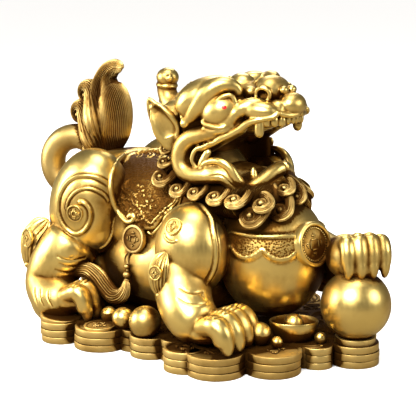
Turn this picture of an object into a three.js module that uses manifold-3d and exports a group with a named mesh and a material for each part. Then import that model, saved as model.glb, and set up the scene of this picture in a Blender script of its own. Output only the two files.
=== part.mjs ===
// A cast brass pixiu: a crouching, open-mouthed guardian beast on a heap of coins,
// its left forepaw on a ball. Millimetres, +Z up, the beast faces +X, its left is +Y.
// The whole work is one casting, so it is one solid.
import * as THREE from 'three';
import { mergeVertices } from 'three/addons/utils/BufferGeometryUtils.js';
import Module from 'manifold-3d';

// Driving dimensions
const FIGURE_HEIGHT = 236; // from the top of the coins to the tip of the tail
const COIN_THICKNESS = 6.8;
const COINS_IN_STACK = 3;
const COIN_GROOVE = 1.2; // depth of the gap between two coins
const BALL_RADIUS = 32;
const BALL_SINK = 3; // how far the ball settles into the small coin below it
const SEAT_COIN_THICKNESS = 5;
const SEAT_COIN_RADIUS = 18.5;
const MEDALLION_RADIUS = 20;
const MEDALLION_THICKNESS = 6;
const MEDALLION_RIM = 3;
const TASSEL_COIN_RADIUS = 13.5;
const TASSEL_COIN_THICKNESS = 7.5; // with the part that is sunk in the flank
const SEAL_RADIUS = 8; // the small coin in relief on a haunch or shoulder
const SEAL_RAISE = 1.6;
const INGOT_LENGTH = 45;
const SADDLE_RAISE = 3; // how far the saddle cloth stands above the back
const COLLAR_RAISE = 2.4;
const COLLAR_WIDTH = 15;
const RIDGE_RADIUS = 2.6; // the raised line of the haunch's spiral

const BASE_TOP = COIN_THICKNESS * COINS_IN_STACK;
// The beast's pose and carving are laid out in 236ths of its own height.
const UNIT = FIGURE_HEIGHT / 236;
const RIGHT = -1;
const LEFT = 1;

const wasm = await Module();
wasm.setup();

function toSolid(geometry) {
  const bare = geometry.clone();
  bare.deleteAttribute('normal');
  bare.deleteAttribute('uv');
  const merged = mergeVertices(bare, 1e-4);
  return new wasm.Manifold(
    new wasm.Mesh({
      numProp: 3,
      vertProperties: new Float32Array(merged.attributes.position.array),
      triVerts: new Uint32Array(merged.index.array),
    }),
  );
}

function toGeometry(solid) {
  const mesh = solid.getMesh();
  const geometry = new THREE.BufferGeometry();
  const places = new Float32Array(mesh.vertProperties);
  geometry.setAttribute('position', new THREE.BufferAttribute(places, mesh.numProp));
  geometry.setIndex(new THREE.BufferAttribute(new Uint32Array(mesh.triVerts), 1));
  geometry.computeVertexNormals();
  return geometry;
}

function unite(solids) {
  return solids.reduce((whole, solid) => whole.add(solid));
}

// A place on the beast: x forward, y to its left, z above the coins.
function at(x, y, z) {
  return new THREE.Vector3(x * UNIT, y * UNIT, z * UNIT + BASE_TOP);
}

// A geometry turned by angles in degrees about X, Y and Z and moved to its centre.
function placed(geometry, centre, turn = [0, 0, 0]) {
  const angles = turn.map(THREE.MathUtils.degToRad);
  geometry.applyMatrix4(
    new THREE.Matrix4().compose(
      centre,
      new THREE.Quaternion().setFromEuler(new THREE.Euler(...angles, 'ZYX')),
      new THREE.Vector3(1, 1, 1),
    ),
  );
  return toSolid(geometry);
}

function ellipsoid(centre, radii, { turn, sides = 12, rings = 8 } = {}) {
  const geometry = new THREE.SphereGeometry(1, sides, rings);
  geometry.rotateX(Math.PI / 2);
  geometry.scale(...radii);
  return placed(geometry, centre, turn);
}

// Muscles and other round forms of the beast, with radii in its own units.
function mass([x, y, z], radii, options) {
  return ellipsoid(at(x, y, z), radii.map((radius) => radius * UNIT), options);
}

// A round plate with its flat sides across the direction [x, y, z].
function plate(centre, direction, radius, thickness, sides = 14) {
  const geometry = new THREE.CylinderGeometry(radius, radius, thickness, sides);
  const axis = new THREE.Vector3(...direction).normalize();
  const upright = new THREE.Vector3(0, 1, 0);
  geometry.applyQuaternion(new THREE.Quaternion().setFromUnitVectors(upright, axis));
  return placed(geometry, centre);
}

// A limb, lock or horn: the rings of a sphere carried along a curve through the stations
// [x, y, z, radius]. The section is `wide` times as wide along `across` as it is thick,
// its ends are rounded over the share `blunt` of its length, and `lobe` gives the share of
// the radius that each side of the section keeps.
function limb(stations, options = {}) {
  const { wide = 1, across = [0, 1, 0], sides = 8, steps = 8, blunt = 0.14, lobe = () => 1 } = options;
  const curve = new THREE.CatmullRomCurve3(stations.map(([x, y, z]) => at(x, y, z)));
  const radiusAt = (t) => {
    const place = t * (stations.length - 1);
    const first = Math.min(Math.floor(place), stations.length - 2);
    return THREE.MathUtils.lerp(stations[first][3], stations[first + 1][3], place - first) * UNIT;
  };
  const endRounding = (t) => {
    const fromEnd = Math.min(t, 1 - t) / blunt;
    return fromEnd >= 1 ? 1 : Math.sqrt(1 - (1 - fromEnd) ** 2);
  };
  const geometry = new THREE.SphereGeometry(1, sides, steps);
  const position = geometry.attributes.position;
  const reference = new THREE.Vector3(...across);
  for (let i = 0; i < position.count; i += 1) {
    const unitPoint = new THREE.Vector3().fromBufferAttribute(position, i);
    const t = Math.acos(THREE.MathUtils.clamp(unitPoint.y, -1, 1)) / Math.PI;
    const along = curve.getTangent(t);
    const broad = reference.clone().addScaledVector(along, -reference.dot(along)).normalize();
    const thin = new THREE.Vector3().crossVectors(along, broad);
    const ring = Math.hypot(unitPoint.x, unitPoint.z) || 1;
    const turn = Math.atan2(unitPoint.z, unitPoint.x) / (2 * Math.PI);
    const facet = Math.round(turn * sides + sides) % sides;
    const radius = radiusAt(t) * endRounding(t) * lobe(facet, t);
    const point = curve
      .getPoint(t)
      .addScaledVector(broad, (unitPoint.x / ring) * radius * wide)
      .addScaledVector(thin, (-unitPoint.z / ring) * radius);
    position.setXYZ(i, point.x, point.y, point.z);
  }
  return facingOut(geometry);
}

// Rings can wind either way round a curve, and a solid has its faces outwards.
function facingOut(geometry) {
  const solid = toSolid(geometry);
  if (solid.volume() > 0) {
    return solid;
  }
  const index = geometry.index.array;
  for (let i = 0; i < index.length; i += 3) {
    [index[i + 1], index[i + 2]] = [index[i + 2], index[i + 1]];
  }
  return toSolid(geometry);
}

// A lock of hair that comes down from `root` and winds up into a snail round `eye`.
// The snail lies in the plane of the way from root to eye and of `bend`.
function curl(root, eye, bend, size, { turns = 1.1, sides = 4, steps = 8 } = {}) {
  const centre = new THREE.Vector3(...eye);
  const start = new THREE.Vector3(...root);
  const u = centre.clone().sub(start).normalize();
  const v = new THREE.Vector3(...bend);
  v.addScaledVector(u, -v.dot(u)).normalize();
  const face = new THREE.Vector3().crossVectors(u, v);
  const thick = size * 0.36;
  const stations = [[...root, thick]];
  const count = 7;
  for (let i = 0; i <= count; i += 1) {
    const share = i / count;
    const angle = Math.PI * 0.5 - share * turns * 2 * Math.PI;
    const reach = size * (0.72 - 0.6 * share);
    const place = centre
      .clone()
      .addScaledVector(v, Math.sin(angle) * reach)
      .addScaledVector(u, Math.cos(angle) * reach);
    stations.push([...place.toArray(), thick * (1 - 0.4 * share)]);
  }
  return limb(stations, { across: face.toArray(), sides, steps, wide: 1.35, blunt: 0.1 });
}

function bothSides(make) {
  return [make(RIGHT), make(LEFT)];
}

const BARREL = { centre: [-56, 0, 88], radii: [90, 61, 60] };
const BELLY = { centre: [-52, 0, 40], radii: [94, 60, 44] };
const CHEST = { centre: [78, 0, 70], radii: [52, 51, 59] };
const HAUNCH = { radii: [41, 37, 57], x: -106, y: 55, z: 103, lean: 18, eye: { across: 15, up: 2 } };
const SHOULDER = { radii: [35, 34, 42], x: 35, y: 64, z: 79, lean: 0, eye: { across: 1, up: 26 } };
// The way in over the haunch to its eye, as (across, up) from the muscle's middle
const HAUNCH_LINE = [
  [28, 37],
  [16, 41],
  [6, 34],
  [-3, 20],
  [-6, 5],
  [-4, -7],
  [5, -16],
  [16, -18],
  [25, -11],
  [27, 2],
  [22, 11],
  [12, 12],
];

function swollen({ centre, radii }, raise, detail) {
  return mass(centre, radii.map((radius) => radius + raise / UNIT), detail);
}

function torso() {
  return [
    swollen(BARREL, 0, { sides: 12, rings: 7 }),
    swollen(BELLY, 0, { sides: 10, rings: 6 }),
    mass([-108, 0, 92], [50, 54, 55], { sides: 8, rings: 6 }),
    swollen(CHEST, 0, { sides: 14, rings: 9 }),
    limb([[10, 0, 80, 40], [12, 0, 120, 45], [4, 0, 165, 38]], { sides: 8, steps: 4 }),
  ];
}

// A point on the outer face of a round muscle, and the way out of it.
function onMuscle({ radii, x, y, z, lean }, side, across, up) {
  const [rx, ry, rz] = radii;
  const out = Math.sqrt(Math.max(1 - (across / rx) ** 2 - (up / rz) ** 2, 0));
  const turn = new THREE.Matrix4().makeRotationY(THREE.MathUtils.degToRad(lean));
  const offset = new THREE.Vector3(across, side * ry * out, up).applyMatrix4(turn);
  const normal = new THREE.Vector3(across / rx ** 2, (side * out) / ry, up / rz ** 2).applyMatrix4(turn);
  return { point: [x + offset.x, side * y + offset.y, z + offset.z], normal: normal.toArray() };
}

// The raised line that winds in over the haunch to the seal at its eye.
function haunchSpiral(side) {
  const stations = HAUNCH_LINE.map(([across, up]) => [
    ...onMuscle(HAUNCH, side, across, up).point,
    RIDGE_RADIUS / UNIT,
  ]);
  return limb(stations, { sides: 3, steps: 13, blunt: 0.05 });
}

// The small coin in relief on a haunch or shoulder.
function seal(muscle, side) {
  const { point, normal } = onMuscle(muscle, side, muscle.eye.across, muscle.eye.up);
  return plate(at(...point), normal, SEAL_RADIUS, SEAL_RAISE * 2, 10);
}

function hindLeg(side) {
  const { x, y, z, radii } = HAUNCH;
  return [
    mass([x, side * y, z], radii, { turn: [0, HAUNCH.lean, 0], sides: 12, rings: 7 }),
    limb(
      [
        [-104, side * 74, 72, 30],
        [-127, side * 84, 48, 25],
        [-127, side * 90, 26, 23],
        [-90, side * 101, 12, 17],
      ],
      { sides: 8, steps: 6 },
    ),
    paw([-84, side * 102, -1], { length: 27, height: 30, width: 52 }),
    limb(
      [
        [-134, side * 84, 88, 8],
        [-144, side * 94, 72, 15],
        [-147, side * 97, 50, 12],
        [-144, side * 96, 32, 4],
      ],
      { wide: 0.5, sides: 6, steps: 5 },
    ),
  ];
}

// A paw with four toes side by side, bent at the knuckle, with the claws down.
// It starts at [x, y, z] under the wrist and points the way `turn`, in degrees from forward.
function paw([x, y, z], { length, height, width, turn = 0, drop = 0 }) {
  const heading = THREE.MathUtils.degToRad(turn);
  const station = (forward, up, thick) => [
    x + Math.cos(heading) * forward * length,
    y + Math.sin(heading) * forward * length,
    z + up * height,
    thick * height,
  ];
  const stations = [
    station(-0.5, 0.3, 0.3),
    station(0, 0.55, 0.5),
    station(0.45, 0.72, 0.42),
    station(0.85, 0.62, 0.34),
    station(1, 0.2, 0.26),
    station(1.02, -drop, 0.12),
  ];
  const across = [-Math.sin(heading), Math.cos(heading), 0];
  const betweenToes = (facet, t) => (t > 0.3 && facet % 2 === 1 ? 0.72 : 1);
  return limb(stations, { wide: width / height, across, sides: 12, steps: 7, lobe: betweenToes });
}

function shoulder(side) {
  const { x, y, z, radii } = SHOULDER;
  return mass([x, side * y, z], radii, { sides: 12, rings: 7 });
}

function rightForeleg() {
  return [
    limb(
      [
        [30, -76, 66, 28],
        [40, -84, 48, 23],
        [58, -88, 26, 20],
        [80, -82, 12, 18],
      ],
      { sides: 8, steps: 5 },
    ),
    paw([72, -80, 0], { length: 32, height: 32, width: 66, turn: 6 }),
    elbowFin(RIGHT),
  ];
}

function elbowFin(side) {
  return limb(
    [
      [19, side * 84, 80, 5],
      [12, side * 91, 66, 10],
      [13, side * 92, 48, 8],
      [22, side * 90, 34, 3],
    ],
    { wide: 0.55, sides: 5, steps: 5 },
  );
}

const ballSeat = at(164, 12, 0);

function ballCentre() {
  return ballSeat.clone().setZ(BASE_TOP + SEAT_COIN_THICKNESS - BALL_SINK + BALL_RADIUS);
}

function leftForeleg() {
  const x = ballSeat.x / UNIT;
  const y = ballSeat.y / UNIT;
  const top = (ballCentre().z + BALL_RADIUS - BASE_TOP) / UNIT;
  return [
    limb(
      [
        [48, 62, 70, 30],
        [86, 58, 62, 25],
        [122, 40, top, 21],
        [x - 14, y + 4, top + 12, 18],
      ],
      { sides: 8, steps: 6 },
    ),
    paw([x - 10, y + 4, top - 4], { length: 26, height: 38, width: 54, drop: 0.15 }),
  ];
}

function skull() {
  return [
    mass([2, 0, 190], [38, 42, 36], { sides: 8, rings: 5 }),
    limb([[10, 0, 192, 24], [54, 0, 198, 20], [100, 0, 204, 11]], { wide: 1.7, sides: 8, steps: 5 }),
    limb([[0, 0, 132, 16], [48, 0, 133, 16], [86, 0, 145, 11]], { wide: 2.4, sides: 8, steps: 5 }),
    mass([78, 0, 226], [15, 20, 13], { sides: 9, rings: 6 }),
    mass([100, 0, 210], [11, 17, 11], { sides: 9, rings: 5 }),
    mass([41, 0, 224], [12, 12, 13], { sides: 8, rings: 5 }),
  ];
}

// One side of the face: cheek roll, lips, muzzle, eye, brow and teeth.
function faceSide(side) {
  return [
    limb(
      [
        [62, side * 42, 186, 8],
        [30, side * 46, 184, 9],
        [8, side * 48, 176, 11],
        [0, side * 49, 157, 12],
        [10, side * 48, 140, 11],
        [32, side * 46, 139, 10],
        [58, side * 43, 144, 9],
      ],
      { sides: 6, steps: 8 },
    ),
    limb(
      [
        [22, side * 45, 155, 3.5],
        [55, side * 46, 160, 4],
        [70, side * 41, 150, 4.5],
        [80, side * 27, 137, 5],
        [86, side * 12, 146, 5],
        [92, 0, 156, 6],
      ],
      { sides: 4, steps: 8 },
    ),
    limb(
      [
        [24, side * 46, 166, 3],
        [45, side * 45, 178, 4],
        [66, side * 39, 188, 5],
        [84, side * 32, 199, 5],
        [99, side * 23, 202, 4],
      ],
      { sides: 4, steps: 6 },
    ),
    mass([80, side * 27, 206], [21, 12, 11], { sides: 7, rings: 4 }),
    mass([49, side * 35, 207], [18, 11, 15], { sides: 8, rings: 5 }),
    limb(
      [
        [13, side * 52, 197, 4],
        [17, side * 50, 210, 6],
        [31, side * 42, 224, 7],
        [50, side * 32, 227, 6],
        [61, side * 25, 214, 4],
      ],
      { sides: 4, steps: 6 },
    ),
    tooth([86, side * 27, 198, 6], [85, side * 28, 180, 2]),
    tooth([79, side * 28, 138, 5], [80, side * 26, 156, 1.5]),
    tooth([40, side * 46, 170, 5], [28, side * 49, 150, 1.5]),
  ];
}

// A pointed tooth from its root to its tip, both [x, y, z, radius].
function tooth(root, tip) {
  const middle = root.map((value, i) => (value + tip[i]) / 2);
  return limb([root, middle, tip], { sides: 4, steps: 3 });
}

function ear(side) {
  return limb(
    [
      [8, side * 44, 168, 7],
      [-4, side * 51, 182, 13],
      [-12, side * 56, 200, 10],
      [-18, side * 60, 214, 4],
    ],
    { wide: 1.35, across: [1, 0.4 * side, 0.35], sides: 5, steps: 5 },
  );
}

// The one horn at the back of the crown, with its knob and a prong in front.
function horn() {
  return [
    limb(
      [
        [-22, 0, 176, 15],
        [-42, 0, 192, 12],
        [-50, 0, 206, 9],
        [-51, 0, 217, 9],
        [-51, 0, 228, 12],
        [-51, 0, 237, 5],
      ],
      { sides: 6, steps: 8 },
    ),
    limb([[-40, 0, 194, 7], [-35, 0, 206, 3]], { sides: 5, steps: 3 }),
  ];
}

// The ruff under the head and the snail locks that hang from it.
function mane() {
  const rows = [
    { eye: [-16, 50, 146], root: [4, 38, 160], size: 15 },
    { eye: [8, 58, 130], root: [24, 42, 142], size: 14 },
    { eye: [37, 58, 128], root: [46, 32, 134], size: 14 },
    { eye: [65, 54, 124], root: [70, 26, 134], size: 16 },
    { eye: [91, 32, 116], root: [90, 20, 142], size: 19 },
    { eye: [104, 12, 128], root: [92, 8, 146], size: 15 },
  ];
  const place = (side, [x, y, z]) => [x, side * y, z];
  const lock = (side, { eye, root, size }, detail) =>
    curl(place(side, root), place(side, eye), [-1, side * 0.25, 0], size, detail);
  const locks = [
    ...rows.map((row) => lock(RIGHT, row, { sides: 4, steps: 8 })),
    ...rows.map((row) => lock(LEFT, row, { sides: 3, steps: 6 })),
  ];
  const ruff = limb([[-24, 0, 150, 22], [16, 0, 124, 22], [70, 0, 116, 24], [98, 0, 116, 18]], {
    wide: 2.3,
    sides: 10,
    steps: 5,
  });
  return [ruff, ...locks];
}

// The tail leaves the rump, goes once round an open ring and ends in an upright plume of hair.
function tail() {
  const ringCentre = new THREE.Vector3(-172, -6, 131);
  const ringRadius = 27;
  const ringHeading = THREE.MathUtils.degToRad(25);
  const ring = [-128, -164, -200, -236, -272, -308].map((angle) => {
    const turn = THREE.MathUtils.degToRad(angle);
    const sideways = Math.cos(turn) * ringRadius;
    return [
      ringCentre.x + sideways * Math.cos(ringHeading),
      ringCentre.y + sideways * Math.sin(ringHeading),
      ringCentre.z + Math.sin(turn) * ringRadius,
      11.5,
    ];
  });
  const loop = limb([[-148, 6, 92, 13], ...ring, [-138, 4, 138, 10]], { sides: 6, steps: 10 });
  const plume = limb(
    [
      [-138, 0, 134, 15],
      [-138, 0, 150, 23],
      [-137, 0, 172, 32],
      [-130, 0, 194, 31],
      [-128, 0, 212, 18],
      [-120, 0, 229, 9],
      [-103, 0, 229, 6],
    ],
    { wide: 0.6, sides: 8, steps: 9 },
  );
  const locks = [
    { root: [-150, 180], eye: [-166, 202], size: 15 },
    { root: [-154, 160], eye: [-174, 180], size: 15 },
    { root: [-150, 150], eye: [-171, 162], size: 10 },
  ].map(({ root, eye, size }) =>
    curl([root[0], 0, root[1]], [eye[0], 0, eye[1]], [1, 0, -0.3], size),
  );
  return [loop, plume, ...locks];
}

function saddle() {
  const corners = [
    [-108, 190],
    [-101, 142],
    [-74, 117],
    [-46, 93],
    [-30, 86],
    [-16, 91],
    [6, 122],
    [24, 190],
  ];
  const outline = new THREE.Shape(
    corners.map(([x, z]) => new THREE.Vector2(x * UNIT, z * UNIT + BASE_TOP)),
  );
  const halfWidth = 100 * UNIT;
  const slab = new THREE.ExtrudeGeometry(outline, { depth: 2 * halfWidth, bevelEnabled: false });
  slab.rotateX(Math.PI / 2);
  slab.translate(0, halfWidth, 0);
  return swollen(BARREL, SADDLE_RAISE, { sides: 12, rings: 7 }).intersect(toSolid(slab));
}

// The rolled edges of the saddle cloth, from the spine down to its points.
function saddleTrim(side) {
  return limb(
    [
      [-101, side * 14, 143, 4],
      [-95, side * 37, 134, 4],
      [-74, side * 57, 118, 4],
      [-61, side * 63, 102, 4],
      [-43, side * 64, 95, 5],
    ],
    { sides: 4, steps: 6 },
  );
}

function collar() {
  const band = new THREE.BoxGeometry(200 * UNIT, 200 * UNIT, COLLAR_WIDTH);
  const slab = placed(band, at(78, 0, 86), [0, -4, 0]);
  return swollen(CHEST, COLLAR_RAISE, { sides: 14, rings: 9 }).intersect(slab);
}

function medallion() {
  const centre = at(127, 0, 87);
  const direction = [1, 0, 0.32];
  const disc = plate(centre, direction, MEDALLION_RADIUS, MEDALLION_THICKNESS * 2, 14);
  const front = new THREE.Vector3(...direction).setLength(MEDALLION_THICKNESS).add(centre);
  const hollow = plate(front, direction, MEDALLION_RADIUS - MEDALLION_RIM, MEDALLION_THICKNESS / 2, 14);
  return disc.subtract(hollow);
}

// The coins and the swept tassel that hang below the point of the saddle cloth.
function tassel(side) {
  const thickness = TASSEL_COIN_THICKNESS;
  const coin = plate(at(-34, side * 61, 79), [0, side, -0.1], TASSEL_COIN_RADIUS, thickness, 12);
  const lower = plate(
    at(-35, side * 59, 60),
    [0.2, side, -0.2],
    TASSEL_COIN_RADIUS * 0.7,
    thickness,
    8,
  );
  const hair = limb(
    [
      [-42, side * 62, 58, 3],
      [-46, side * 66, 42, 5],
      [-54, side * 70, 25, 9],
      [-74, side * 73, 30, 12],
      [-90, side * 76, 42, 8],
      [-102, side * 80, 38, 4],
    ],
    { sides: 4, steps: 8 },
  );
  return unite([coin, lower, hair]);
}

// The coin stacks, one after another round the heap, with the sides of each one's outer arc
const STACKS = [
  { x: -92, y: -110, radius: 20, sides: 5 },
  { x: -49, y: -99, radius: 26, sides: 5 },
  { x: -18, y: -78, radius: 22, sides: 1 },
  { x: 6, y: -89, radius: 20, sides: 4 },
  { x: 34, y: -80, radius: 20, sides: 1 },
  { x: 58, y: -101, radius: 20, sides: 4 },
  { x: 86, y: -92, radius: 27, sides: 6 },
  { x: 122, y: -56, radius: 26, sides: 5 },
  { x: 144, y: -19, radius: 15, sides: 4 },
  { x: 164, y: 12, radius: 23, sides: 6 },
  { x: 130, y: 50, radius: 28, sides: 2 },
  { x: 86, y: 84, radius: 30, sides: 2 },
  { x: 30, y: 98, radius: 30, sides: 2 },
  { x: -30, y: 98, radius: 30, sides: 2 },
  { x: -88, y: 98, radius: 30, sides: 2 },
  { x: -134, y: 62, radius: 30, sides: 2 },
  { x: -146, y: 4, radius: 30, sides: 2 },
  { x: -128, y: -52, radius: 30, sides: 2 },
];

// The far point where the rims of two neighbouring stacks meet, seen from the middle of the heap.
function rimsMeet(one, other) {
  const gap = other.centre.clone().sub(one.centre);
  const distance = gap.length();
  const along = (distance ** 2 + one.radius ** 2 - other.radius ** 2) / (2 * distance);
  const aside = Math.sqrt(Math.max(one.radius ** 2 - along ** 2, 0));
  const way = gap.normalize();
  const outward = new THREE.Vector2(way.y, -way.x);
  return one.centre.clone().addScaledVector(way, along).addScaledVector(outward, aside);
}

// The outline of the whole heap: an arc round the outer side of each stack in turn.
function heapOutline(inset) {
  const rims = STACKS.map(({ x, y, radius }) => ({
    centre: new THREE.Vector2(x * UNIT, y * UNIT),
    radius: radius * UNIT - inset,
  }));
  return rims.flatMap((rim, i) => {
    const before = rims.at(i - 1);
    const after = rims[(i + 1) % rims.length];
    const start = rimsMeet(before, rim).sub(rim.centre).angle();
    const finish = rimsMeet(rim, after).sub(rim.centre).angle();
    const sweep = (finish - start + 2 * Math.PI) % (2 * Math.PI);
    const { sides } = STACKS[i];
    return Array.from({ length: sides }, (_, k) => {
      const angle = start + (sweep * k) / sides;
      const spoke = new THREE.Vector2(Math.cos(angle), Math.sin(angle)).multiplyScalar(rim.radius);
      return rim.centre.clone().add(spoke);
    });
  });
}

// Coins lie in layers with a groove between them, all on the ground.
function coinHeap() {
  const rows = [{ z: 0, inset: 0 }];
  for (let i = 1; i < COINS_IN_STACK; i += 1) {
    const gap = i * COIN_THICKNESS;
    rows.push({ z: gap - COIN_GROOVE / 2, inset: 0 });
    rows.push({ z: gap, inset: COIN_GROOVE });
    rows.push({ z: gap + COIN_GROOVE / 2, inset: 0 });
  }
  rows.push({ z: BASE_TOP, inset: 0 });
  const outlines = rows.map(({ inset }) => heapOutline(inset));
  const sides = outlines[0].length;
  const heap = new THREE.CylinderGeometry(1, 1, 1, sides, rows.length - 1);
  const position = heap.attributes.position;
  for (let i = 0; i < position.count; i += 1) {
    const row = Math.round((position.getY(i) + 0.5) * (rows.length - 1));
    const turn = Math.atan2(position.getX(i), position.getZ(i)) / (2 * Math.PI);
    const spot = outlines[row][Math.round(turn * sides + sides) % sides];
    const share = Math.round(Math.hypot(position.getX(i), position.getZ(i)));
    position.setXYZ(i, spot.x * share, spot.y * share, rows[row].z);
  }
  const seat = plate(ballSeat, [0, 0, 1], SEAT_COIN_RADIUS, SEAT_COIN_THICKNESS * 2, 12);
  return [facingOut(heap), seat];
}

const PEARLS = [
  { x: 8, y: -98, radius: 14 },
  { x: -22, y: -92, radius: 10 },
  { x: 104, y: -52, radius: 11 },
  { x: 122, y: -50, radius: 5.5 },
  { x: 144, y: -14, radius: 5.5 },
];

function treasure() {
  const pearls = PEARLS.map(({ x, y, radius }) =>
    mass([x, y, radius * 0.85], [radius, radius, radius], { sides: 8, rings: 4 }),
  );
  const ball = ellipsoid(ballCentre(), [BALL_RADIUS, BALL_RADIUS, BALL_RADIUS], { sides: 12, rings: 7 });
  return [...pearls, ball, ...ingot()];
}

// A boat-shaped ingot: a shallow bowl with a dome in it.
function ingot() {
  const reach = INGOT_LENGTH / 2;
  const profile = [[0, 0], [0.6, 0], [0.9, 0.45], [1, 0.85], [0.92, 0.85], [0.7, 0.6], [0, 0.5]].map(
    ([x, z]) => new THREE.Vector2(x * reach, z * reach),
  );
  const boat = new THREE.LatheGeometry(profile, 8);
  boat.rotateX(Math.PI / 2);
  boat.scale(1, 0.8, 1);
  const centre = at(120, -22, 0).setZ(BASE_TOP - COIN_GROOVE);
  const domeCentre = centre.clone().setZ(centre.z + reach * 0.55);
  return [
    placed(boat, centre, [0, 0, 40]),
    ellipsoid(domeCentre, [reach * 0.42, reach * 0.36, reach * 0.4], { sides: 6, rings: 4 }),
  ];
}

const casting = unite([
  ...coinHeap(),
  ...treasure(),
  ...torso(),
  ...bothSides(hindLeg).flat(),
  haunchSpiral(RIGHT),
  ...bothSides(shoulder),
  ...[HAUNCH, SHOULDER].map((muscle) => seal(muscle, RIGHT)),
  ...rightForeleg(),
  ...leftForeleg(),
  ...skull(),
  ...bothSides(faceSide).flat(),
  ...bothSides(ear),
  ...horn(),
  ...mane(),
  ...tail(),
  saddle(),
  saddleTrim(RIGHT),
  collar(),
  medallion(),
  tassel(RIGHT),
]);

const brass = new THREE.MeshStandardMaterial({
  name: 'brass',
  color: 0xc79a3e,
  metalness: 1,
  roughness: 0.32,
});
const figure = new THREE.Mesh(toGeometry(casting), brass);
figure.name = 'pixiu_figure';

const model = new THREE.Group();
model.add(figure);
export default model;
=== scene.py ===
"""The looks of a cast brass pixiu that crouches on a heap of coins.

The beast faces +X, its left is +Y and the ground is Z = 0. Forms are modelled in
millimetres, pressed together and cast into pieces, and each piece is carved and then
brought to metres. Places on the beast are written as at(x, y, z), with z above the coins.
"""

import logging
import math
from collections.abc import Callable, Iterable, Sequence
from dataclasses import dataclass, field
from enum import Enum
from functools import lru_cache

import bmesh
import bpy
import numpy as np
from mathutils import Matrix, Vector
from mathutils.bvhtree import BVHTree

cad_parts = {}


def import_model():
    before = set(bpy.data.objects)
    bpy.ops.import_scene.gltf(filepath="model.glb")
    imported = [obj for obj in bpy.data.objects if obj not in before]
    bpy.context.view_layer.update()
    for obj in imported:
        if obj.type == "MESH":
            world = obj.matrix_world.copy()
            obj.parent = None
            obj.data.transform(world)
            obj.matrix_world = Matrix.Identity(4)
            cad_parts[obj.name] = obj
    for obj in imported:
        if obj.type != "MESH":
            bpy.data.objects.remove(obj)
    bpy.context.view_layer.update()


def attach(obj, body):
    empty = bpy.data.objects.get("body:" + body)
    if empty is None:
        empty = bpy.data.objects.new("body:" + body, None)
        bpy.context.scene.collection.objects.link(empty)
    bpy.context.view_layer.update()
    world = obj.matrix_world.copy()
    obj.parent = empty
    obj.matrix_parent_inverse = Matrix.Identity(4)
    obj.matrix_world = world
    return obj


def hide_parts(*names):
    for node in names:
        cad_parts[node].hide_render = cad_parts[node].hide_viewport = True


log = logging.getLogger("pixiu")

NODE = "pixiu_figure"
METRES = 0.001  # metres in a millimetre

COIN_THICKNESS = 6.8
COINS_IN_STACK = 3
BASE_TOP = COIN_THICKNESS * COINS_IN_STACK

SIDEWAYS = (0.0, 1.0, 0.0)
UPWARD = (0.0, 0.0, 1.0)
SHARP_ANGLE = 48  # degrees between faces from which an edge of a laid-out piece shows

# Scales of the skin's noises: cloudy ageing, brushing and the pits of the matted fields
CLOUD_SCALE = 26
BRUSH_SCALE = 420
PIT_SCALE = 520

# The most triangles that a piece keeps, and what the biggest ones keep instead
USUAL_TRIANGLES = 40_000
MOST_TRIANGLES = {
    "body": 130_000,
    "head": 150_000,
    "tail_plume": 80_000,
    "coin_stacks": 80_000,
    "coin_filling": 30_000,
}

Station = Sequence[float]


class Side(Enum):
    """A flank of the beast, by the sign of its Y."""

    RIGHT = -1
    LEFT = 1


class Cut(Enum):
    """How a stroke changes the surface across its width."""

    RIDGE = "a round raised line"
    GROOVE = "a narrow sunk line"
    WELT = "a raised line with a sunk line on either side"
    SWELL = "a broad soft bulge"


def at(x: float, y: float, z: float) -> Vector:
    """Returns the place x forward, y to the beast's left and z above the coins."""
    return Vector((x, y, z + BASE_TOP))


def mirrored(stations: Iterable[Station], side: Side) -> list[Station]:
    """Turns stations given for the left flank to the asked one.

    Args:
        stations: points or stations whose second value is the distance from the middle.
        side: the flank they are wanted on.

    Returns:
        The same stations with that value's sign set.
    """
    return [(s[0], s[1] * side.value, *s[2:]) for s in stations]


def both_flanks(half: Sequence[Station]) -> list[Station]:
    """Carries a line that ends on the middle plane on over the other flank."""
    return [*half, *[(x, -y, z, radius) for x, y, z, radius in reversed(half[:-1])]]


def follow(stations: Sequence[Station], shares: np.ndarray) -> tuple[np.ndarray, np.ndarray]:
    """Runs a centripetal Catmull-Rom curve through stations of any number of values.

    Args:
        stations: at least two stations, each x, y, z and further values such as a radius.
        shares: where to read the curve, from 0 at its start to 1 at its end.

    Returns:
        The values at each share, and their rate of change.
    """
    knots = np.array(stations, float)
    knots[:, 2] += BASE_TOP
    padded = np.vstack([2 * knots[0] - knots[1], knots, 2 * knots[-1] - knots[-2]])
    place = np.clip(shares, 0, 1) * (len(knots) - 1)
    first = np.minimum(place.astype(int), len(knots) - 2)
    part = (place - first)[:, None]
    a, b, c, d = (padded[first + i] for i in range(4))

    def gap(one: np.ndarray, other: np.ndarray) -> np.ndarray:
        """Returns the root of the distance between two rows of places."""
        return np.sqrt(np.linalg.norm((other - one)[:, :3], axis=1))[:, None] + 1e-6

    before, here, after = gap(a, b), gap(b, c), gap(c, d)
    leaving = ((b - a) / before - (c - a) / (before + here) + (c - b) / here) * here
    arriving = ((c - b) / here - (d - b) / (here + after) + (d - c) / after) * here
    square = 3 * (c - b) - 2 * leaving - arriving
    cube = 2 * (b - c) + leaving + arriving
    values = b + leaving * part + square * part**2 + cube * part**3
    return values, leaving + 2 * square * part + 3 * cube * part**2


def unit_rows(rows: np.ndarray) -> np.ndarray:
    """Returns the rows brought to length 1."""
    return rows / np.maximum(np.linalg.norm(rows, axis=1, keepdims=True), 1e-9)


def read_rows(mesh: bpy.types.Mesh, name: str = "co") -> np.ndarray:
    """Returns the places of a mesh's vertices, or another of their vectors, as rows."""
    flat = np.empty(len(mesh.vertices) * 3, np.float32)
    mesh.vertices.foreach_get(name, flat)
    return flat.reshape(-1, 3).astype(float)


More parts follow.
